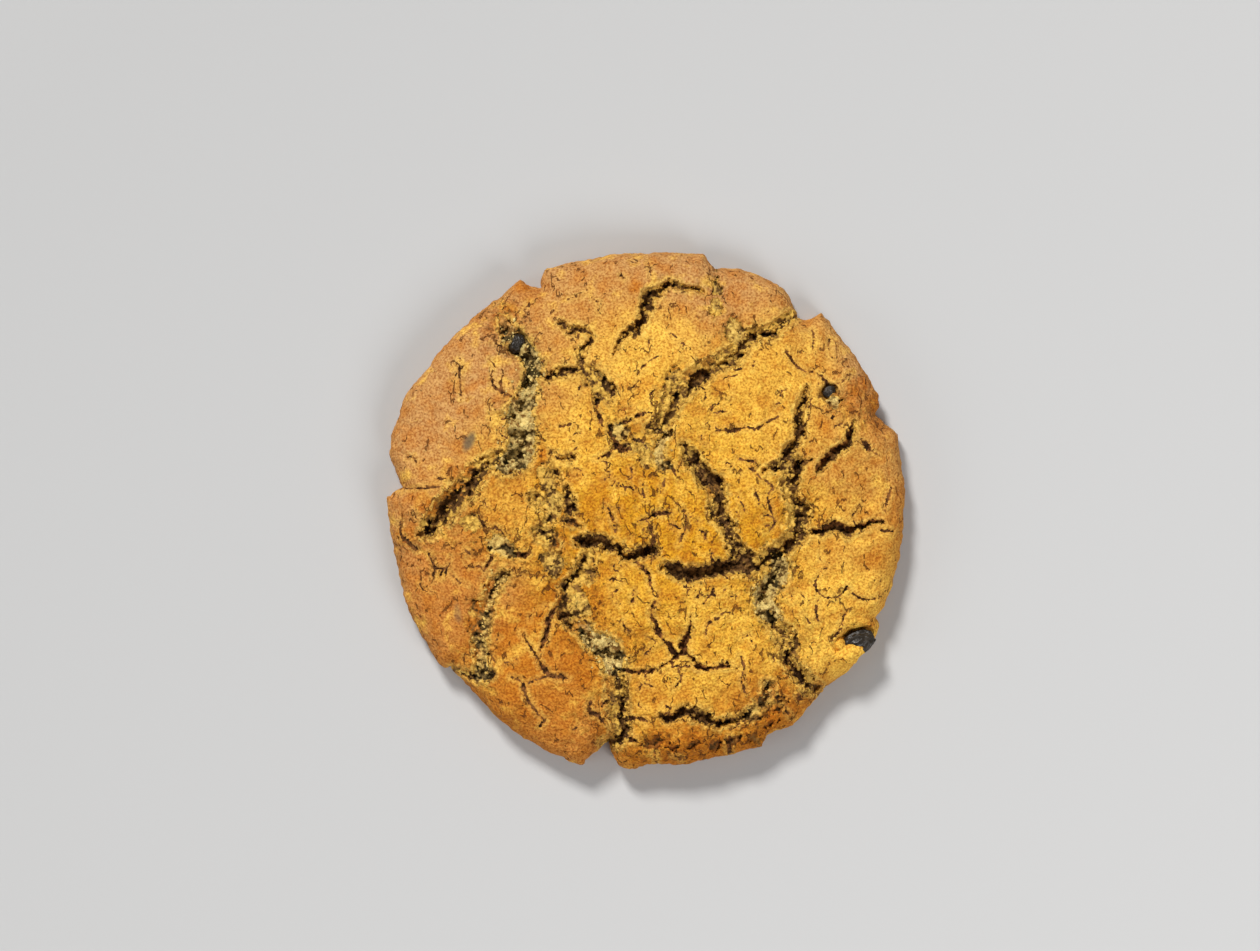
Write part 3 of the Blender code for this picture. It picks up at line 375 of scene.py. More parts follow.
# Where the crust is rough and flaky: x, y, reach, strength
ROUGH_ZONES = (
    (5.0, -6.0, 34.0, 0.35), (2.0, -48.0, 7.0, 1.0), (12.0, -47.0, 8.0, 0.9),
    (22.0, -43.0, 7.0, 1.0), (28.0, -37.0, 6.0, 0.9), (-8.0, -42.0, 6.0, 0.9),
    (-28.0, 37.0, 6.0, 0.8), (44.0, 22.0, 6.0, 0.8), (-43.0, -4.0, 7.0, 0.6),
    (-27.0, -7.0, 8.0, 0.7), (-15.0, -5.0, 7.0, 0.6), (-4.0, 15.0, 8.0, 0.6),
    (0.0, -3.0, 9.0, 0.6), (-13.0, -18.0, 6.0, 0.7), (24.0, -15.0, 7.0, 0.7),
    (12.0, 20.0, 7.0, 0.5), (30.0, -27.0, 6.0, 0.6), (-4.0, -28.0, 6.0, 0.6),
)

SHORT_CRACKS = 150
SHORT_CRACK_REACH = 47.5        # how far from the middle the short cracks begin
BROKEN_MIDDLE = (5.0, -6.0)     # most of them lie around this place ...
BROKEN_SPREAD = 750.0           # ... with this spread, in square millimetres
CRUMBS = 520                    # how many loose crumbs there are
ABOVE = 30.0                    # height that they fall from
LIP_HEIGHT = 0.36               # how far the crust curls up beside a crack
CREASE_DEPTH = 0.22             # depth of the creases between the low lumps
HOLE_DEPTH = 0.9                # depth of the holes in torn crumb
PIT_ROOM = 0.35                 # room around a raisin ...
BED_ROOM = 0.3                  # ... and under it
MOUND_EDGE = 1.6                # how far a dough mound reaches, in half axes
FINE_WIDTH = 0.74               # width of the fine cracks, as a share of what their list says
CRACK_DEPTH = 0.78              # depth of the cracks, as a share of what their list says
BLOCK = 1.05                    # size of the pieces that break off along a crack
LEVEL_FROM = 16.0               # above this height the top levels off ...
LEVELLING = 0.85                # ... and rises by less than this
SPIKE = 0.25                    # how far a point may stand above its neighbours' mean ...
HOLLOW = 1.0                    # ... or lie below it
PIT_SLOPE = 3.5                 # how steeply the dough rises around a raisin
MASKS = ("torn", "crumb", "painted_shade", "shade", "lip", "flaky", "toast", "grey", "low", "golden",
         "bright", "burnt")

# ------------------------------------------------------------------ mesh spacing (mm)
FINE_STEP = 0.26
PLAIN_STEP = 0.49
RIM_STEP = 0.38
CURVE_STEP = 0.5
RING_INSETS = (0.006, 0.03, 0.075, 0.14, 0.23, 0.35, 0.51, 0.71, 0.95)
FINE_BORDER = 0.60
FOOT_RINGS = 8
UNDERSIDE_STEP = 2.4
WELL_INSIDE = 12.0              # insets are counted up to here
SEED = 7

# Where the unrolled top and the underside lie on the texture: middle and radius
TOP_MAP = (0.445, 0.44)
UNDER_MAP = (0.853, 0.143)
SIDE_REACH = 3.6
FOOT_REACH = 4.2


# ------------------------------------------------------------------ repeatable noise
def hashed(cell, seed):
    """A repeatable number from 0 to 1 for each whole-numbered cell."""
    mixed = (cell[..., 0] * 73856093) ^ (cell[..., 1] * 19349663) ^ (cell[..., 2] * 83492791)
    mixed = (mixed ^ (seed * 40503)) & 0xFFFFFFFF
    mixed = ((mixed ^ (mixed >> 13)) * 1274126177) & 0xFFFFFFFF
    mixed = ((mixed ^ (mixed >> 15)) * 668265263) & 0xFFFFFFFF
    return ((mixed ^ (mixed >> 16)) & 0xFFFFFF) / 0xFFFFFF


def with_height(points):
    """The points with a height of 0 where they have none."""
    return points if points.shape[1] == 3 else np.column_stack([points, np.zeros(len(points))])


def noise(points, size, seed):
    """Smooth noise from -1 to 1 with bumps about one size across."""
    places = with_height(points) / size
    cell = np.floor(places).astype(np.int64)
    t = places - cell
    t = t * t * t * (t * (t * 6.0 - 15.0) + 10.0)
    total = np.zeros(len(points))
    for corner in np.ndindex(2, 2, 2):
        weight = np.prod(np.where(corner, t, 1.0 - t), axis=1)
        total += weight * hashed(cell + corner, seed)
    return 2.0 * total - 1.0


def layered(points, size, seed, layers=3):
    """Noise with finer noise on top of it."""
    total = sum(noise(points, size * 0.5 ** k, seed + k) * 0.5 ** k for k in range(layers))
    return total / sum(0.5 ** k for k in range(layers))


def granules(points, size, seed):
    """Distance to the nearest grain's middle and to the next one, counted in grains, and the
    nearest grain's own number from 0 to 1."""
    places = with_height(points) / size
    cell = np.floor(places).astype(np.int64)
    nearest = np.full(len(points), 9.0)
    second = np.full(len(points), 9.0)
    own = np.zeros(len(points))
    for corner in np.ndindex(3, 3, 3):
        there = cell + corner - 1
        middle = there + np.stack([hashed(there, seed + k) for k in range(3)], axis=1)
        gap = np.linalg.norm(places - middle, axis=1)
        closer = gap < nearest
        second = np.where(closer, nearest, np.minimum(second, gap))
        own = np.where(closer, hashed(there, seed + 3), own)
        nearest = np.where(closer, gap, nearest)
    return nearest, second, own


def smooth_step(x):
    """A soft step from 0 to 1."""
    x = np.clip(x, 0.0, 1.0)
    return x * x * (3.0 - 2.0 * x)


# ------------------------------------------------------------------ curves
def smooth_curve(knots, step):
    """A Catmull-Rom curve through the knots, with a point about every step."""
    pts = np.array(knots, dtype=float)
    ends = np.vstack([2 * pts[0] - pts[1], pts, 2 * pts[-1] - pts[-2]])
    curve = []
    for k in range(1, len(ends) - 2):
        before, start, end, after = ends[k - 1:k + 3]
        count = max(1, round(float(np.hypot(*(end - start)[:2])) / step))
        for i in range(count):
            t = i / count
            curve.append(0.5 * (2 * start + (end - before) * t
                                + (2 * before - 5 * start + 4 * end - after) * t ** 2
                                + (3 * start - before - 3 * end + after) * t ** 3))
    curve.append(pts[-1])
    return np.array(curve)


def nearest_on(path, points):
    """Distance to a path, the place along it in path points, and 1 on its left or -1."""
    best = np.full(len(points), np.inf)
    place = np.zeros(len(points))
    side = np.ones(len(points))
    for k in range(len(path) - 1):
        start = path[k, :2]
        run = path[k + 1, :2] - start
        offset = points - start
        t = np.clip((offset @ run) / max(run @ run, 1e-9), 0.0, 1.0)
        gap = np.hypot(*(offset - t[:, None] * run).T)
        nearer = gap < best
        best[nearer] = gap[nearer]
        place[nearer] = k + t[nearer]
        cross = run[0] * offset[:, 1] - run[1] * offset[:, 0]
        side[nearer] = np.where(cross[nearer] >= 0.0, 1.0, -1.0)
    return best, place, side


def rim_outline():
    """The closed rim, turned anticlockwise, with small crumbly unevenness."""
    points = np.vstack([smooth_curve(stretch, RIM_STEP)[:-1] for stretch in RIM])[::-1]
    radius = np.hypot(points[:, 0], points[:, 1])
    unevenness = 0.13 * noise(points, 2.2, SEED) + 0.07 * noise(points, 0.8, SEED + 1) - 0.2
    return points * ((radius + unevenness) / radius)[:, None]


def inset_from(outline, points):
    """How far inside the rim each point lies; well inside, a large number."""
    closed = np.vstack([outline, outline[:1]])
    inset = np.full(len(points), WELL_INSIDE)
    near = np.hypot(points[:, 0], points[:, 1]) > REACH - WELL_INSIDE - 1.0
    inset[near], _, _ = nearest_on(closed, points[near])
    return np.minimum(inset, WELL_INSIDE)


def inside(outline, points):
    """True inside the rim, which every ray from the middle crosses once."""
    turn = np.arctan2(outline[:, 1], outline[:, 0])
    order = np.argsort(turn)
    reach = np.interp(np.arctan2(points[:, 1], points[:, 0]), turn[order],
                      np.hypot(*outline[order].T), period=2 * math.pi)
    return np.hypot(points[:, 0], points[:, 1]) < reach


# ------------------------------------------------------------------ the top
def plain_top(points, inset):
    """Height of the domed top with its swells and rounded rim, before it tears."""
    radius = np.hypot(points[:, 0], points[:, 1]) / REACH
    dome = np.clip(1.0 - radius ** 2, 0.0, 1.0) ** DOME_POWER
    height = SHOULDER_HEIGHT + (CROWN_HEIGHT - SHOULDER_HEIGHT) * dome
    for length, heading, shift, size in SWELLS:
        turn = math.radians(heading)
        along = points[:, 0] * math.cos(turn) + points[:, 1] * math.sin(turn)
        height += size * np.sin(2 * math.pi * along / length + math.radians(shift))
    rounding = np.clip(1.0 - inset / SHOULDER_WIDTH, 0.0, 1.0) ** SHOULDER_POWER
    return BELLY_HEIGHT + (height - BELLY_HEIGHT) * (1.0 - rounding) ** (1.0 / SHOULDER_POWER)


def near_path(path, points, margin):
    """The numbers of the points in a box around the path."""
    low = path[:, :2].min(axis=0) - margin
    high = path[:, :2].max(axis=0) + margin
    return np.flatnonzero(np.all((points > low) & (points < high), axis=1))


def short_cracks():
    """Small random cracks, most of them in the broken middle: depth, then x, y and width."""
    draw = np.random.default_rng(SEED + 5)
    cracks = []
    while len(cracks) < SHORT_CRACKS:
        middle = draw.uniform(-47.0, 47.0, 2)
        away = (middle[0] - BROKEN_MIDDLE[0]) ** 2 + (middle[1] - BROKEN_MIDDLE[1]) ** 2
        broken = 0.30 + 0.70 * math.exp(-away / BROKEN_SPREAD)
        if np.hypot(*middle) > SHORT_CRACK_REACH or draw.random() > broken:
            continue
        heading = draw.uniform(0.0, math.pi)
        knots = [(*middle, 0.25)]
        for _ in range(draw.integers(2, 5)):
            heading += draw.normal(0.0, 0.55)
            stride = draw.uniform(0.6, 1.1)
            x, y, _ = knots[-1]
            width = draw.uniform(0.20, 0.46)
            knots.append((x + stride * math.cos(heading), y + stride * math.sin(heading), width))
        cracks.append((draw.uniform(0.7, 1.4), tuple(knots)))
    return cracks


def all_cracks():
    """Every crack as depth, crumb share, left slope, right slope and smooth path."""
    cracks = [(*crack[:4], smooth_curve(crack[4], CURVE_STEP)) for crack in CRACKS]
    for depth, knots in FINE_CRACKS + tuple(short_cracks()):
        path = smooth_curve(knots, CURVE_STEP)
        path[:, 2] *= FINE_WIDTH
        cracks.append((depth, 0.0, 0.0, 0.0, path))
    return cracks


def zoned(points, zones, wander):
    """The strongest of some round zones with soft, wandering edges."""
    value = np.zeros(len(points))
    for x, y, reach, strength in zones:
        far = np.hypot(points[:, 0] - x, points[:, 1] - y) / reach + wander
        value = np.maximum(value, strength * (1.0 - smooth_step(far - 0.45)))
    return value


def in_ellipse(points, x, y, along, across, turn):
    """Distance from an ellipse's middle, where 1 is its edge."""
    angle = math.radians(turn)
    dx, dy = points[:, 0] - x, points[:, 1] - y
    u = (dx * math.cos(angle) + dy * math.sin(angle)) / along
    v = (dy * math.cos(angle) - dx * math.sin(angle)) / across
    return np.hypot(u, v)


def torn_top(points, cracks):
    """What the tearing does at each point: how deep it goes, whether the crust is gone, the
    share of pale crumb, the painted shade in crack floors and holes, the raised lip, and the broken state
    of the crust nearby."""
    fields = {name: np.zeros(len(points))
              for name in ("depth", "torn", "crumb", "painted_shade", "lip", "flaky")}
    _, _, own = granules(points, BLOCK, SEED + 10)
    _, _, small = granules(points, 0.5 * BLOCK, SEED + 14)
    _, _, tiny = granules(points, 0.45, SEED + 16)
    ragged = 0.70 * (own - 0.5) + 0.46 * (small - 0.5) + 0.55 * noise(points, 2.9, SEED + 18)
    hole = smooth_step((layered(points, 1.9, SEED + 30, 2) + 0.10) / 0.26)

    def deepest(name, at, values):
        fields[name][at] = np.maximum(fields[name][at], values)

    for deep, share, left, right, path in cracks:
        at = near_path(path, points, 6.0)
        gap, place, side = nearest_on(path, points[at])
        half = 0.5 * np.interp(place, range(len(path)), path[:, 2])
        gap = gap + ragged[at] * np.clip(half / 0.75, 0.24, 1.0)
        gap = gap + 0.34 * (tiny[at] - 0.5) * (half < 0.6)
        slope = np.where(side > 0, left, right)
        floor = 1.0 - smooth_step((gap - half) / 0.36 + 0.5)
        sunk = 1.0 - smooth_step((gap - half) / 0.85 + 0.75)
        beyond = gap - half - slope
        sloping = (1.0 - smooth_step(beyond / 0.32 + 0.5)) * (slope > 0.05)
        filled = 1.0 - 0.62 * share * (1.0 - hole[at])
        narrowing = np.sqrt(np.clip(half / 0.8, 0.0, 1.0))
        deepest("depth", at, CRACK_DEPTH * deep * narrowing * filled * sunk)
        inner = np.clip(1.0 - (gap - half) / np.maximum(slope, 0.1), 0.0, 1.0)
        deepest("depth", at, sloping * (0.40 + 0.22 * deep * inner))
        deepest("torn", at, np.maximum(floor, sloping))
        deepest("crumb", at, np.maximum(share * floor, max(share, 0.55) * sloping))
        # Painted shade: darkest in the core of a crack's floor, lighter on its crumbly slopes
        core = np.clip(1.60 - 0.90 * gap / half, 0.35, 1.0)
        deepest("painted_shade", at, 0.92 * floor * filled * core * (1.0 - 0.36 * share))
        deepest("painted_shade", at, sloping * (0.20 + 0.16 * inner))
        deepest("lip", at, np.exp(-((beyond - 0.38) / 0.36) ** 2) * narrowing * (0.75 + 0.25 * share))
        deepest("flaky", at, np.exp(-(np.maximum(beyond, 0.0) / (0.6 + 1.6 * share)) ** 2)
                * narrowing * (0.45 + 0.55 * share))
    for x, y, along, across, turn, share, deep in CRUMB_PATCHES:
        far = in_ellipse(points, x, y, along, across, turn) + 1.15 * ragged / min(along, across)
        torn = 1.0 - smooth_step((far - 0.85) / 0.2)
        deepest("depth", slice(None), torn * deep)
        deepest("torn", slice(None), torn)
        deepest("crumb", slice(None), torn * share)
        # Painted shade in the rough patches, darker where they hold holes
        deepest("painted_shade", slice(None), torn * (0.22 + 0.34 * hole))
        deepest("flaky", slice(None), share * np.exp(-(np.maximum(far - 1.0, 0.0) / 0.8) ** 2))
    # Holes in the torn crumb are sunk deeper and painted with shade
    pits = fields["crumb"] * fields["torn"] * hole
    fields["depth"] += HOLE_DEPTH * pits
    fields["painted_shade"] = np.maximum(fields["painted_shade"], 0.62 * pits)
    fields["shade"] = 0.65 * own + 0.35 * small
    return fields


def raisin_pits(points, height):
    """Lowers the dough under each raisin, so that the raisin lies in a pit of its own."""
    for (x, y, z), (along, across, up), turn in RAISINS.values():
        far = in_ellipse(points, x, y, along + PIT_ROOM, across + PIT_ROOM, turn)
        bed = z - (up + BED_ROOM) * np.sqrt(np.clip(1.0 - far ** 2, 0.0, 1.0))
        bed += PIT_SLOPE * across * np.maximum(far - 1.0, 0.0)
        height = np.minimum(height, bed)
    return height


def top_shape(points, outline, cracks):
    """Height, and the masks that the crust's material reads."""
    inset = inset_from(outline, points)
    masks = torn_top(points, cracks)
    masks["inset"] = inset
    rough = zoned(points, ROUGH_ZONES, 0.25 * layered(points, 9.0, SEED + 63))
    masks["flaky"] = np.clip(masks["flaky"] + rough, 0.0, 1.0)
    shallowing = smooth_step(inset / 1.6)
    calm = smooth_step(inset / 2.5)
    height = plain_top(points, inset)
    lumpy = calm * (0.55 + 0.75 * masks["flaky"])
    height += lumpy * (0.45 * noise(points, 6.5, SEED + 20) + 0.42 * noise(points, 3.1, SEED + 21))
    nearest, second, _ = granules(points, 4.6, SEED + 22)
    crease = np.exp(-((second - nearest) / 0.09) ** 2) * smooth_step(noise(points, 7.0, SEED + 25))
    height -= CREASE_DEPTH * crease * calm
    height += LIP_HEIGHT * masks["lip"] * masks["shade"] * (1.0 - masks["torn"]) * calm
    above = np.maximum(height - LEVEL_FROM, 0.0)
    height += LEVELLING * (1.0 - np.exp(-above / LEVELLING)) - above
    height -= masks["depth"] * shallowing
    height = raisin_pits(points, height)
    for x, y, top, along, across, turn in DOUGH_MOUNDS:
        far = in_ellipse(points, x, y, along, across, turn)
        mound = top - 1.1 * np.minimum(far, MOUND_EDGE) ** 2.2
        height = np.where(far < MOUND_EDGE, np.maximum(height, mound), height)
    return np.maximum(height, BELLY_HEIGHT), masks


def evened(height, faces):
    """Takes single points back that stand up or lie low between their neighbours."""
    corners = np.array(faces)
    size = len(height)
    neighbours = 2.0 * np.bincount(corners.ravel(), minlength=size)
    for _ in range(3):
        total = sum(np.bincount(corners[:, k], height[corners[:, k - 1]] + height[corners[:, k - 2]],
                                size) for k in range(3))
        mean = total / neighbours
        height = np.clip(height, mean - HOLLOW, mean + SPIKE)
    return height


# ------------------------------------------------------------------ the biscuit's mesh
def hex_grid(step, seed):
    """An even grid over the cookie, a little shaken."""
    rows = np.arange(-REACH, REACH, step * math.sqrt(0.75))
    side = np.arange(-REACH, REACH, step)
    x, k = np.meshgrid(side, np.arange(len(rows)))
    points = np.column_stack([(x + (k % 2) * step / 2).ravel(), rows[k].ravel()])
    shake = np.column_stack([noise(points, step * 0.37, seed), noise(points, step * 0.37, seed + 1)])
    return points + shake * step * 0.16


def distance_to_tears(points, cracks):
    """Distance to the nearest torn place, negative inside it."""
    far = np.full(len(points), 9.0)
    for _, _, left, right, path in cracks:
        at = near_path(path, points, 4.0)
        gap, place, side = nearest_on(path, points[at])
        half = 0.5 * np.interp(place, range(len(path)), path[:, 2])
        narrow = 0.25 * (path[:, 2].max() < 1.0)
        far[at] = np.minimum(far[at], gap - half - np.where(side > 0, left, right) + narrow)
    for x, y, along, across, turn, _, _ in CRUMB_PATCHES:
        edge = (in_ellipse(points, x, y, along, across, turn) - 1.0) * min(along, across)
        far = np.minimum(far, edge)
    for (x, y, _), (along, across, _), turn in RAISINS.values():
        edge = (in_ellipse(points, x, y, along, across, turn) - 1.0) * across - 0.5
        far = np.minimum(far, edge)
    return far


def top_plan(outline, cracks):
    """Where the top has its points, seen from above: close together only where it is torn."""
    closed = np.vstack([outline[-1:], outline, outline[:1]])
    run = np.gradient(closed, axis=0)[1:-1]
    inward = np.column_stack([-run[:, 1], run[:, 0]]) / np.hypot(run[:, 0], run[:, 1])[:, None]
    plan = []
    for inset in RING_INSETS:
        ring = outline + inward * inset
        ring = ring[inside(outline, ring)]
        plan.append(ring[inset_from(outline, ring) > 0.9 * inset])
    for step, wanted in ((FINE_STEP, True), (PLAIN_STEP, False)):
        grid = hex_grid(step, SEED + 40)
        grid = grid[inside(outline, grid)]
        grid = grid[inset_from(outline, grid) > RING_INSETS[-1] + 0.6 * step]
        torn = distance_to_tears(grid, cracks) < FINE_BORDER + (0.0 if wanted else 0.3 * step)
        plan.append(grid[torn == wanted])
    return np.vstack(plan)


def stack_rings(outline, foot_rings):
    """The rings of the side below its widest line, down to the underside."""
    radius = np.hypot(outline[:, 0], outline[:, 1])
    rings = []
    for k in range(1, foot_rings + 1):
        turn = 0.5 * math.pi * k / foot_rings
        height = BELLY_HEIGHT * (1.0 - math.sin(turn))
        inset = FOOT_INSET * (1.0 - math.cos(turn)) ** 1.3
        plan = outline * ((radius - inset) / radius)[:, None]
        rings.append(np.column_stack([plan, np.full(len(plan), height)]))
    return rings


def triangulated(outline, inner):
    """Triangles that fill the outline with these inner points; outline points come first."""
    flat = [Vector(p) for p in np.vstack([outline, inner])]
    only_inside = 1
    found = delaunay_2d_cdt(flat, [], [list(range(len(outline)))], only_inside, 1e-6)
    corners, _, faces, origins, _, _ = found
    plan = np.array([tuple(c) for c in corners])
    rim = np.full(len(outline), -1)
    for i, sources in enumerate(origins):
        for source in sources:
            if source < len(outline):
                rim[source] = i
    return plan, faces, rim


def biscuit_arrays(outline, cracks):
    """Points, faces and point masks of the whole closed biscuit."""
    plan, faces, rim = triangulated(outline, top_plan(outline, cracks))
    height, masks = top_shape(plan, outline, cracks)
    height = evened(height, faces)
    height[rim] = BELLY_HEIGHT
    points = [np.column_stack([plan, height])]
    total = len(plan)
    upper = rim
    size = len(outline)
    for ring in stack_rings(outline, FOOT_RINGS):
        lower = np.arange(total, total + size)
        around = np.roll(np.arange(size), -1)
        faces += list(zip(upper, lower, lower[around]))
        faces += list(zip(upper, lower[around], upper[around]))
        points.append(ring)
        total += size
        upper = lower
    foot = points[-1][:, :2]
    base = hex_grid(UNDERSIDE_STEP, SEED + 50)
    base = base[np.hypot(base[:, 0], base[:, 1]) < REACH - FOOT_INSET - 1.0]
    base = base[inside(foot * 0.985, base)]
    plan, base_faces, foot_index = triangulated(foot, base)
    renumbered = np.full(len(plan), -1)
    renumbered[foot_index] = upper
    new = renumbered < 0
    renumbered[new] = np.arange(total, total + new.sum())
    points.append(np.column_stack([plan[new], np.zeros(new.sum())]))
    faces += [tuple(renumbered[[c, b, a]]) for a, b, c in base_faces]
    points = np.vstack(points)
    below = len(points) - len(masks["torn"])
    masks = {name: np.concatenate([mask, np.zeros(below)]) for name, mask in masks.items()}
    return points, faces, masks


def biscuit_colours(points):
    """Masks for the crust's broad colours, its toasted and grey places and its low side."""
    flat = points[:, :2]
    spread = 0.5 * noise(flat, 2.4, SEED + 60) + 0.3 * noise(flat, 0.9, SEED + 61)
    toast = np.zeros(len(points))
    for x, y, radius, strength in TOASTED:
        far = np.hypot(points[:, 0] - x, points[:, 1] - y) / radius + 0.5 * spread
        toast = np.maximum(toast, strength * (1.0 - smooth_step((far - 0.4) / 0.9)))
    grey = np.zeros(len(points))
    for x, y, along, across, turn, strength in UNDER_SKIN:
        far = in_ellipse(points, x, y, along, across, turn) + 0.3 * spread
        grey = np.maximum(grey, strength * (1.0 - smooth_step((far - 0.5) / 0.9)))
    wander = 0.35 * layered(flat, 16.0, SEED + 62)
    low = 1.0 - smooth_step((points[:, 2] - 0.5) / 7.5)
    zones = (("golden", GOLDEN_ZONES), ("bright", BRIGHT_AND_LIT_ZONES), ("burnt", BURNT_ZONES))
    colours = {name: zoned(points, places, wander) for name, places in zones}
    return {"toast": toast, "grey": grey, "low": low, **colours}


def roughened(mesh, points, masks):
    """Moves the points along their normals: fine on the crust, coarse and grainy in the crumb."""
    normals = np.zeros(len(points) * 3, np.float32)
    mesh.vertex_normals.foreach_get("vector", normals)
    normals = normals.reshape(-1, 3)
    torn = masks["torn"]
    nearest, _, own = granules(points, 0.85, SEED + 70)
    grains = 0.75 * (0.5 - nearest) + 0.75 * (own - 0.5)
    crust = 0.15 * noise(points, 1.05, SEED + 80) + 0.21 * noise(points, 1.9, SEED + 81)
    crust += masks["flaky"] * (0.20 * noise(points, 0.9, SEED + 84) + 0.20 * (own - 0.5))
    side = smooth_step((7.5 - points[:, 2]) / 5.0) * (masks["inset"] < 1.5)
    crust += side * 0.12 * layered(points, 2.6, SEED + 82, 2)
    wide = smooth_step(masks["depth"] / 0.8)
    crumbly = 0.55 * grains * (0.35 + 0.65 * wide) + 0.12 * noise(points, 0.6, SEED + 83)
    foot = smooth_step(points[:, 2] / 0.8)
    moved = points + normals * ((crust * (1.0 - torn) + crumbly * torn) * foot)[:, None]
    moved[:, 2] = np.where(points[:, 2] <= 0.0, 0.0, np.maximum(moved[:, 2], 0.0))
    masks["shade"] = np.where(torn > 0.5, 0.55 * own + 0.45 * masks["shade"], masks["shade"])
    return moved


def add_object(name, data):
    """A new object in the scene."""
    thing = bpy.data.objects.new(name, data)
    bpy.context.scene.collection.objects.link(thing)
    return thing


def write_mask(mesh, name, values):
    mask = mesh.attributes.new(name, "FLOAT", "POINT")
    mask.data.foreach_set("value", np.asarray(values, np.float32))


def lay_out_map(mesh, points, inset):
    """Texture coordinates: the top and the side unrolled as one disc, the underside as another."""
    radius = np.maximum(np.hypot(points[:, 0], points[:, 1]), 1e-6)
    unrolled = SIDE_REACH * (1.0 - smooth_step(inset / SHOULDER_WIDTH))
    unrolled += FOOT_REACH * np.clip(1.0 - points[:, 2] / BELLY_HEIGHT, 0.0, 1.0)
    upper = points[:, :2] * ((radius + unrolled) / radius)[:, None]
    upper = TOP_MAP[0] + TOP_MAP[1] * upper / (REACH + SIDE_REACH + FOOT_REACH)
    lower = UNDER_MAP[0] + UNDER_MAP[1] * points[:, :2] * (-1.0, 1.0) / REACH
    corners = np.zeros(len(mesh.loops), np.int32)
    mesh.loops.foreach_get("vertex_index", corners)
    flat = np.repeat(np.all(points[corners, 2].reshape(-1, 3) <= 0.0, axis=1), 3)
    places = np.where(flat[:, None], lower[corners], upper[corners])
    mesh.uv_layers.new(name="OFBake").data.foreach_set("uv", places.astype(np.float32).ravel())


def make_biscuit(material):
    outline = rim_outline()
    cracks = all_cracks()
    points, faces, masks = biscuit_arrays(outline, cracks)
    masks.update(biscuit_colours(points))
    mesh = bpy.data.meshes.new("biscuit")
    mesh.from_pydata(points.tolist(), [], [tuple(int(i) for i in face) for face in faces])
    mesh.update()
    lay_out_map(mesh, points, masks["inset"])
    moved = roughened(mesh, points, masks) * MM
    mesh.vertices.foreach_set("co", moved.astype(np.float32).ravel())
    for name in MASKS:
        write_mask(mesh, name, masks[name])
    mesh.materials.append(material)
    mesh.shade_smooth()
    mesh.update()
    piece = add_object("biscuit", mesh)
    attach(piece, "root")
    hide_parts("cookie")
    return piece


# ------------------------------------------------------------------ raisins and loose crumbs
def raisin_points(points, seed):
    """Wrinkles a unit ball: sharp ridges with hollows between them."""
    ridges = 1.0 - np.abs(layered(points * (0.7, 1.0, 1.0), 0.55, seed, 3)) * 3.0
    folds = 1.0 - np.abs(noise(points * (0.6, 1.0, 1.0), 0.8, seed + 5)) * 2.0
    return points * np.minimum(0.84 + 0.12 * ridges + 0.06 * folds, 1.0)[:, None]


def make_raisins(material):
    for k, (name, (middle, half_axes, turn)) in enumerate(RAISINS.items()):
        ball = bmesh.new()
        bmesh.ops.create_icosphere(ball, subdivisions=6, radius=1.0)
        mesh = bpy.data.meshes.new(name + "_skin")
        ball.to_mesh(mesh)
        ball.free()
        points = np.zeros(len(mesh.vertices) * 3, np.float32)
        mesh.vertices.foreach_get("co", points)
        points = raisin_points(points.reshape(-1, 3).astype(float), SEED + 100 + 10 * k)
        place = Matrix.Translation(middle) @ Matrix.Rotation(math.radians(turn), 4, "Z")
        place = Matrix.Scale(MM, 4) @ place @ Matrix.Diagonal((*half_axes, 1.0))
        mesh.vertices.foreach_set("co", points.astype(np.float32).ravel())
        mesh.transform(place)
        mesh.materials.append(material)
        mesh.shade_smooth()
        piece = add_object(name + "_skin", mesh)
        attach(piece, "root")
        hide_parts(name)


def make_crumbs(biscuit, material, count):
    """Loose crumbs that lie in the cracks and on the torn places, as one piece."""
    draw = np.random.default_rng(SEED)
    tree = BVHTree.FromObject(biscuit, bpy.context.evaluated_depsgraph_get())
    crumbs = bmesh.new()
    masks = {"torn": [], "crumb": [], "shade": []}
    paths = [(path, share, left, right) for _, share, left, right, path in all_cracks()
             if share > 0.3]
    lengths = np.array([len(path) * share for path, share, _, _ in paths], dtype=float)
    while count:
        path, share, left, right = paths[draw.choice(len(paths), p=lengths / lengths.sum())]
        x, y, width = path[draw.integers(len(path))]
        dx, dy = draw.normal(0.0, 0.35 * width + 0.3 * (left + right), 2)
        hit, normal, _, _ = tree.ray_cast(Vector((x + dx, y + dy, ABOVE)) * MM, Vector((0, 0, -1)))
        if hit is None:
            continue
        count -= 1
        size = 0.20 + 0.26 * draw.random() ** 2
        turn = Matrix.Rotation(draw.random() * math.tau, 3, Vector(draw.normal(size=3)))
        ball = bmesh.ops.create_icosphere(crumbs, subdivisions=2, radius=1.0)["verts"]
        shape = np.array([tuple(v.co) for v in ball])
        lumps = 1.0 + 0.55 * noise(shape + draw.random(3) * 50.0, 0.7, SEED + 200)
        squash = draw.uniform(0.5, 1.0, 3)
        for vertex, lump in zip(ball, lumps):
            own = Vector(vertex.co[i] * squash[i] * lump for i in range(3))
            vertex.co = hit + normal * size * MM * 0.2 + turn @ own * size * MM
        masks["torn"] += [1.0] * len(ball)
        masks["crumb"] += [share] * len(ball)
        masks["shade"] += [draw.uniform(0.3, 0.9)] * len(ball)
    mesh = bpy.data.meshes.new("crumbs")
    crumbs.to_mesh(mesh)
    crumbs.free()
    for name in MASKS:
        write_mask(mesh, name, masks.get(name, np.zeros(len(mesh.vertices))))
    mesh.materials.append(material)
    mesh.shade_smooth()
    piece = add_object("crumbs", mesh)
    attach(piece, "root")


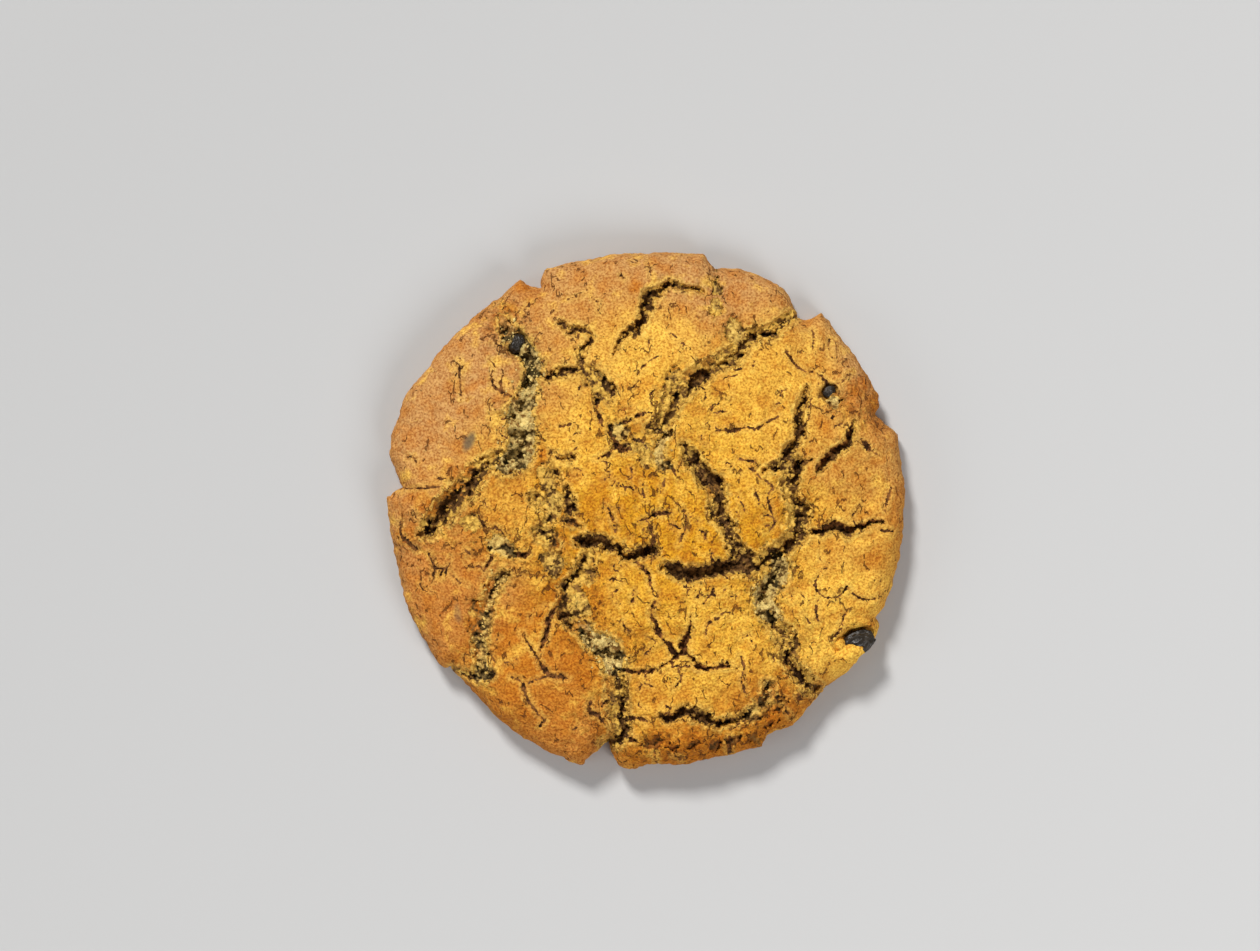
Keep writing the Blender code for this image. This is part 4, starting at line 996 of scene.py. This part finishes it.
# ------------------------------------------------------------------ materials
class Graph:
    """Adds nodes to a material and links them by name."""

    def __init__(self, name):
        self.material = bpy.data.materials.new(name)
        self.material.use_nodes = True
        self.tree = self.material.node_tree
        self.surface = self.tree.nodes["Principled BSDF"]
        self.where = self.add("ShaderNodeTexCoord", output="Object")

    def put(self, target, value):
        if isinstance(value, bpy.types.NodeSocket):
            self.tree.links.new(value, target)
        elif isinstance(value, tuple) and len(value) == 3 and target.type == "RGBA":
            target.default_value = (*value, 1.0)
        else:
            target.default_value = value

    def add(self, kind, inputs=(), output=0, **settings):
        node = self.tree.nodes.new(kind)
        for name, value in settings.items():
            setattr(node, name, value)
        for key, value in dict(inputs).items():
            self.put(node.inputs[key], value)
        return node.outputs[output]

    def mask(self, name):
        return self.add("ShaderNodeAttribute", output="Fac", attribute_name=name)

    def math(self, operation, a, b=0.0):
        return self.add("ShaderNodeMath", {0: a, 1: b}, operation=operation)

    def times(self, a, b):
        return self.math("MULTIPLY", a, b)

    def vector(self, operation, a, b, output="Vector"):
        return self.add("ShaderNodeVectorMath", {0: a, 1: b}, output=output, operation=operation)

    def span(self, value, low, high, to_low=0.0, to_high=1.0):
        return self.add("ShaderNodeMapRange", {0: value, 1: low, 2: high, 3: to_low, 4: to_high})

    def mix(self, share, a, b, blend="MIX"):
        """Mixes two colours."""
        return self.add("ShaderNodeMix", {0: share, 6: a, 7: b}, output=2, data_type="RGBA",
                        blend_type=blend)

    def tinted(self, colour, tint):
        return self.mix(1.0, colour, tint, "MULTIPLY")

    def noise(self, scale, detail=2.0, where=None, output=0):
        inputs = {"Vector": where or self.where, "Scale": scale, "Detail": detail}
        return self.add("ShaderNodeTexNoise", inputs, output=output)

    def bump(self, strength, distance, height, **more):
        inputs = {"Strength": strength, "Distance": distance, "Height": height}
        return self.add("ShaderNodeBump", {**inputs, **more})

    def coat(self, inputs):
        """Gives the surface these values or sockets, and returns the material."""
        for name, value in inputs.items():
            self.put(self.surface.inputs[name], value)
        return self.material


TAN = (0.545, 0.266, 0.083)
GOLDEN = (0.66, 0.296, 0.014)
BRIGHT = (0.93, 0.535, 0.076)
BURNT = (0.51, 0.164, 0.012)
TOAST = (0.50, 0.150, 0.008)
GRAIN_LIGHT = (1.24, 1.38, 1.50)
GRAIN_DARK = (0.68, 0.54, 0.44)
# Pale crumbly edge of the cracks, partly a painted highlight
LIP_PALE_AND_HIGHLIGHT = (0.94, 0.62, 0.13)
# Painted shade for the pits, creases and hairline cracks of the crust
RECESS_SHADE = (0.13, 0.040, 0.007)
CRUMB_PALE = (0.74, 0.56, 0.20)
CRUMB_YELLOW = (0.80, 0.50, 0.095)
FLOOR_BROWN = (0.36, 0.150, 0.030)
# Painted shade: colours of the holes and of the deep crack floors
HOLE_SHADE_OLIVE = (0.105, 0.072, 0.024)
HOLE_SHADE_BROWN = (0.085, 0.030, 0.008)
HOLLOW_SHADE_BROWN = (0.27, 0.135, 0.034)
DEEP_SHADE_BROWN = (0.190, 0.088, 0.024)
TOASTED_CRUMB = (0.78, 0.46, 0.28)
UNDER_BROWN = (0.56, 0.255, 0.055)
SKIN_GREY = (0.13, 0.10, 0.060)
CRUMB_DIM = (0.50, 0.40, 0.30)
CRUMB_LIT = (1.1, 1.1, 1.1)
HOLE_DIM = (0.5, 0.5, 0.5)
HOLE_LIT = (2.8, 3.1, 3.2)
RAISIN_DARK = (0.006, 0.005, 0.004)
RAISIN_BROWN = (0.032, 0.022, 0.012)
FLOOR_DIM = (0.47, 0.47, 0.47)
FLOOR_LIT = (0.56, 0.56, 0.56)


def crust_material():
    g = Graph("crust")
    masks = {name: g.mask(name) for name in MASKS}

    # Broad colour: tan, golden in the middle and to the right, brighter yellow in zones that are partly
    # painted light, burnt in the south-west
    colour = g.mix(masks["golden"], TAN, GOLDEN)
    colour = g.mix(g.times(masks["bright"], 0.75), colour, BRIGHT)
    colour = g.mix(g.times(masks["burnt"], 0.8), colour, BURNT)
    mottle = g.noise(260.0, 5.0)
    colour = g.mix(g.span(mottle, 0.50, 0.66, 0.0, 0.50), colour, TOAST)
    colour = g.mix(g.span(mottle, 0.46, 0.30, 0.0, 0.60), colour, BRIGHT)
    toasted = g.times(masks["toast"], g.span(g.noise(900.0), 0.3, 0.6, 0.45, 1.0))
    colour = g.mix(g.add("ShaderNodeClamp", {0: toasted}), colour, TOAST)

    # The crust's grain: lighter and darker grains, and pits painted with shade
    grain = g.noise(2300.0, 3.0)
    tint = g.mix(g.span(grain, 0.36, 0.50), GRAIN_DARK, (1.0, 1.0, 1.0))
    tint = g.mix(g.span(grain, 0.50, 0.66), tint, GRAIN_LIGHT)
    colour = g.tinted(colour, tint)
    # The pale crumbly lip along the cracks, partly a painted highlight on its edge
    edge = g.times(masks["lip"], g.span(grain, 0.35, 0.6, 0.40, 0.95))
    colour = g.mix(edge, colour, LIP_PALE_AND_HIGHLIGHT)
    flaky = masks["flaky"]
    pit_noise = g.noise(1150.0, 2.0)
    pit_line = g.math("SUBTRACT", 0.78, g.times(flaky, 0.14))
    pit = g.span(g.math("SUBTRACT", pit_noise, pit_line), -0.02, 0.03)
    colour = g.mix(g.times(pit, 0.75), colour, RECESS_SHADE)

    # Small rounded lumps with painted shade in the creases between them, where the crust is flaky
    bend = g.vector("MULTIPLY", g.noise(900.0, 2.0, output="Color"), (0.0009, 0.0009, 0.0009))
    bent = g.vector("ADD", g.where, bend)
    lump = g.add("ShaderNodeTexVoronoi", {"Vector": bent, "Scale": 820.0}, feature="F1")
    crease = g.times(g.span(lump, 0.42, 0.75), g.span(flaky, 0.0, 0.8, 0.12, 0.60))
    colour = g.mix(crease, colour, g.mix(0.5, colour, RECESS_SHADE))

    # Hairline cracks: where a noise passes through its middle value, in some places only, painted with
    # shade and sunk by the bump
    stretched = g.vector("MULTIPLY", g.where, (1.0, 0.55, 1.0))
    thread = g.math("ABSOLUTE", g.math("SUBTRACT", g.noise(230.0, 4.0, stretched), 0.5))
    chosen = g.span(g.math("ADD", g.noise(520.0, 1.0), g.times(flaky, 0.15)),
                    0.56, 0.60)
    tick = g.times(g.span(thread, 0.006, 0.016, 1.0, 0.0), chosen)
    colour = g.mix(g.times(tick, 0.85), colour, RECESS_SHADE)
    colour = g.mix(masks["grey"], colour, SKIN_GREY)

    # Torn places: granules from brown floor over yellow crumb to pale crumb, with painted shade in the
    # holes between them and where a crack runs deep
    pores = g.noise(1700.0, 3.0)
    shade = g.math("ADD", masks["shade"], g.span(pores, 0.3, 0.7, -0.20, 0.20))
    crumb = masks["crumb"]
    inside = g.mix(g.span(crumb, 0.10, 0.50), FLOOR_BROWN, CRUMB_YELLOW)
    inside = g.mix(g.span(crumb, 0.60, 0.95), inside, CRUMB_PALE)
    inside = g.tinted(inside, g.mix(g.span(shade, 0.2, 0.8), CRUMB_DIM, CRUMB_LIT))
    # Painted shade: the crumb turns deep brown where a crack runs deep
    inside = g.mix(g.span(masks["painted_shade"], 0.42, 0.74, 0.0, 0.75), inside, DEEP_SHADE_BROWN)
    inside = g.mix(masks["toast"], inside, g.tinted(inside, TOASTED_CRUMB))
    # Painted shade in the holes between the granules, with painted light on the lumps in them
    hole = g.mix(g.span(crumb, 0.45, 0.95), HOLE_SHADE_BROWN, HOLE_SHADE_OLIVE)
    hole = g.tinted(hole, g.mix(g.span(shade, 0.28, 0.74), HOLE_DIM, HOLE_LIT))
    hole = g.mix(g.span(masks["painted_shade"], 0.34, 0.66), HOLLOW_SHADE_BROWN, hole)
    inside = g.mix(g.span(g.math("SUBTRACT", masks["painted_shade"], shade), -0.10, 0.12), inside, hole)
    torn = g.math("ADD", masks["torn"], g.span(pores, 0.3, 0.7, -0.22, 0.22))
    colour = g.mix(g.span(torn, 0.43, 0.53), colour, inside)
    colour = g.mix(g.times(masks["low"], 0.6), colour, UNDER_BROWN)

    # Relief too fine for the mesh
    height = g.math("ADD", g.times(grain, 0.9), g.times(pores, 0.4))
    height = g.math("SUBTRACT", height, g.times(pit, 0.8))
    height = g.math("SUBTRACT", height, g.times(tick, 1.0))
    fine_bump = g.bump(1.0, 0.00025, height)
    swell = g.math("ADD", g.times(lump, g.span(flaky, 0.0, 0.8, -0.25, -1.0)),
                   g.times(g.noise(640.0, 2.0), 0.9))
    bump = g.bump(1.0, 0.00055, swell, Normal=fine_bump)
    return g.coat({"Base Color": colour, "Roughness": 0.88, "Specular IOR Level": 0.12, "Normal": bump})


def raisin_material():
    g = Graph("raisin")
    cloud = g.noise(500.0, 3.0)
    colour = g.mix(g.span(cloud, 0.35, 0.65), RAISIN_DARK, RAISIN_BROWN)
    gloss = g.span(cloud, 0.3, 0.7, 0.26, 0.50)
    bump = g.bump(0.6, 0.0001, g.noise(2200.0, 3.0))
    return g.coat({"Base Color": colour, "Roughness": gloss, "Specular IOR Level": 0.34, "Normal": bump})


def floor_material():
    g = Graph("floor")
    across = g.vector("DOT_PRODUCT", g.where, (1.0, -1.0, 0.0), "Value")
    shade = g.mix(g.span(across, -0.2, 0.2), FLOOR_DIM, FLOOR_LIT)
    return g.coat({"Base Color": shade, "Roughness": 0.7})


# ------------------------------------------------------------------ stage, light and camera
PICTURE_WIDTH = 0.252           # width of the picture at the cookie's widest line, in metres
CAMERA_DISTANCE = 1.5
PICTURE_MIDDLE = (-0.0031, 0.0070)
SENSOR_WIDTH = 36.0
FLOOR_REACH = 3.0
WORLD_COLOUR = (0.98, 0.99, 1.0, 1.0)
WORLD_STRENGTH = 0.21

# name, place and size in metres, power in watts, colour
LIGHTS = (
    ("key", (-1.3, 2.9, 3.3), 1.0, 200.0, (1.0, 0.99, 0.97)),
    ("fill", (2.3, -2.8, 2.9), 2.4, 104.0, (0.99, 0.99, 1.0)),
    ("side", (-3.2, -1.0, 1.9), 2.0, 22.0, (1.0, 0.99, 0.98)),
)


def add_floor():
    mesh = bpy.data.meshes.new("floor")
    corners = [(x * FLOOR_REACH, y * FLOOR_REACH, 0.0) for x, y in ((-1, -1), (1, -1), (1, 1), (-1, 1))]
    mesh.from_pydata(corners, [], [(0, 1, 2, 3)])
    mesh.materials.append(floor_material())
    floor = add_object("floor", mesh)
    floor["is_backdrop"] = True


def add_area_light(name, place, size, power, colour):
    data = bpy.data.lights.new(name, "AREA")
    data.shape = "DISK"
    data.size = size
    data.energy = power
    data.color = colour
    light = add_object(name, data)
    light.location = place
    light.rotation_euler = (-Vector(place)).to_track_quat("-Z", "Y").to_euler()


def add_camera():
    data = bpy.data.cameras.new("camera")
    data.sensor_width = SENSOR_WIDTH
    data.lens = data.sensor_width * CAMERA_DISTANCE / PICTURE_WIDTH
    camera = add_object("camera", data)
    camera.location = (*PICTURE_MIDDLE, BELLY_HEIGHT * MM + CAMERA_DISTANCE)
    bpy.context.scene.camera = camera


def add_stage():
    add_floor()
    for light in LIGHTS:
        add_area_light(*light)
    world = bpy.data.worlds.new("studio")
    world.use_nodes = True
    background = world.node_tree.nodes["Background"].inputs
    background["Color"].default_value = WORLD_COLOUR
    background["Strength"].default_value = WORLD_STRENGTH
    bpy.context.scene.world = world
    bpy.context.scene.view_settings.view_transform = "Standard"
    add_camera()


def main():
    crust = crust_material()
    biscuit = make_biscuit(crust)
    make_raisins(raisin_material())
    make_crumbs(biscuit, crust, CRUMBS)
    add_stage()
    boxes = {"cad": cad_box, "visual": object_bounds()}
    boxes = {name: [[float(c) for c in corner] for corner in box] for name, box in boxes.items()}


main()
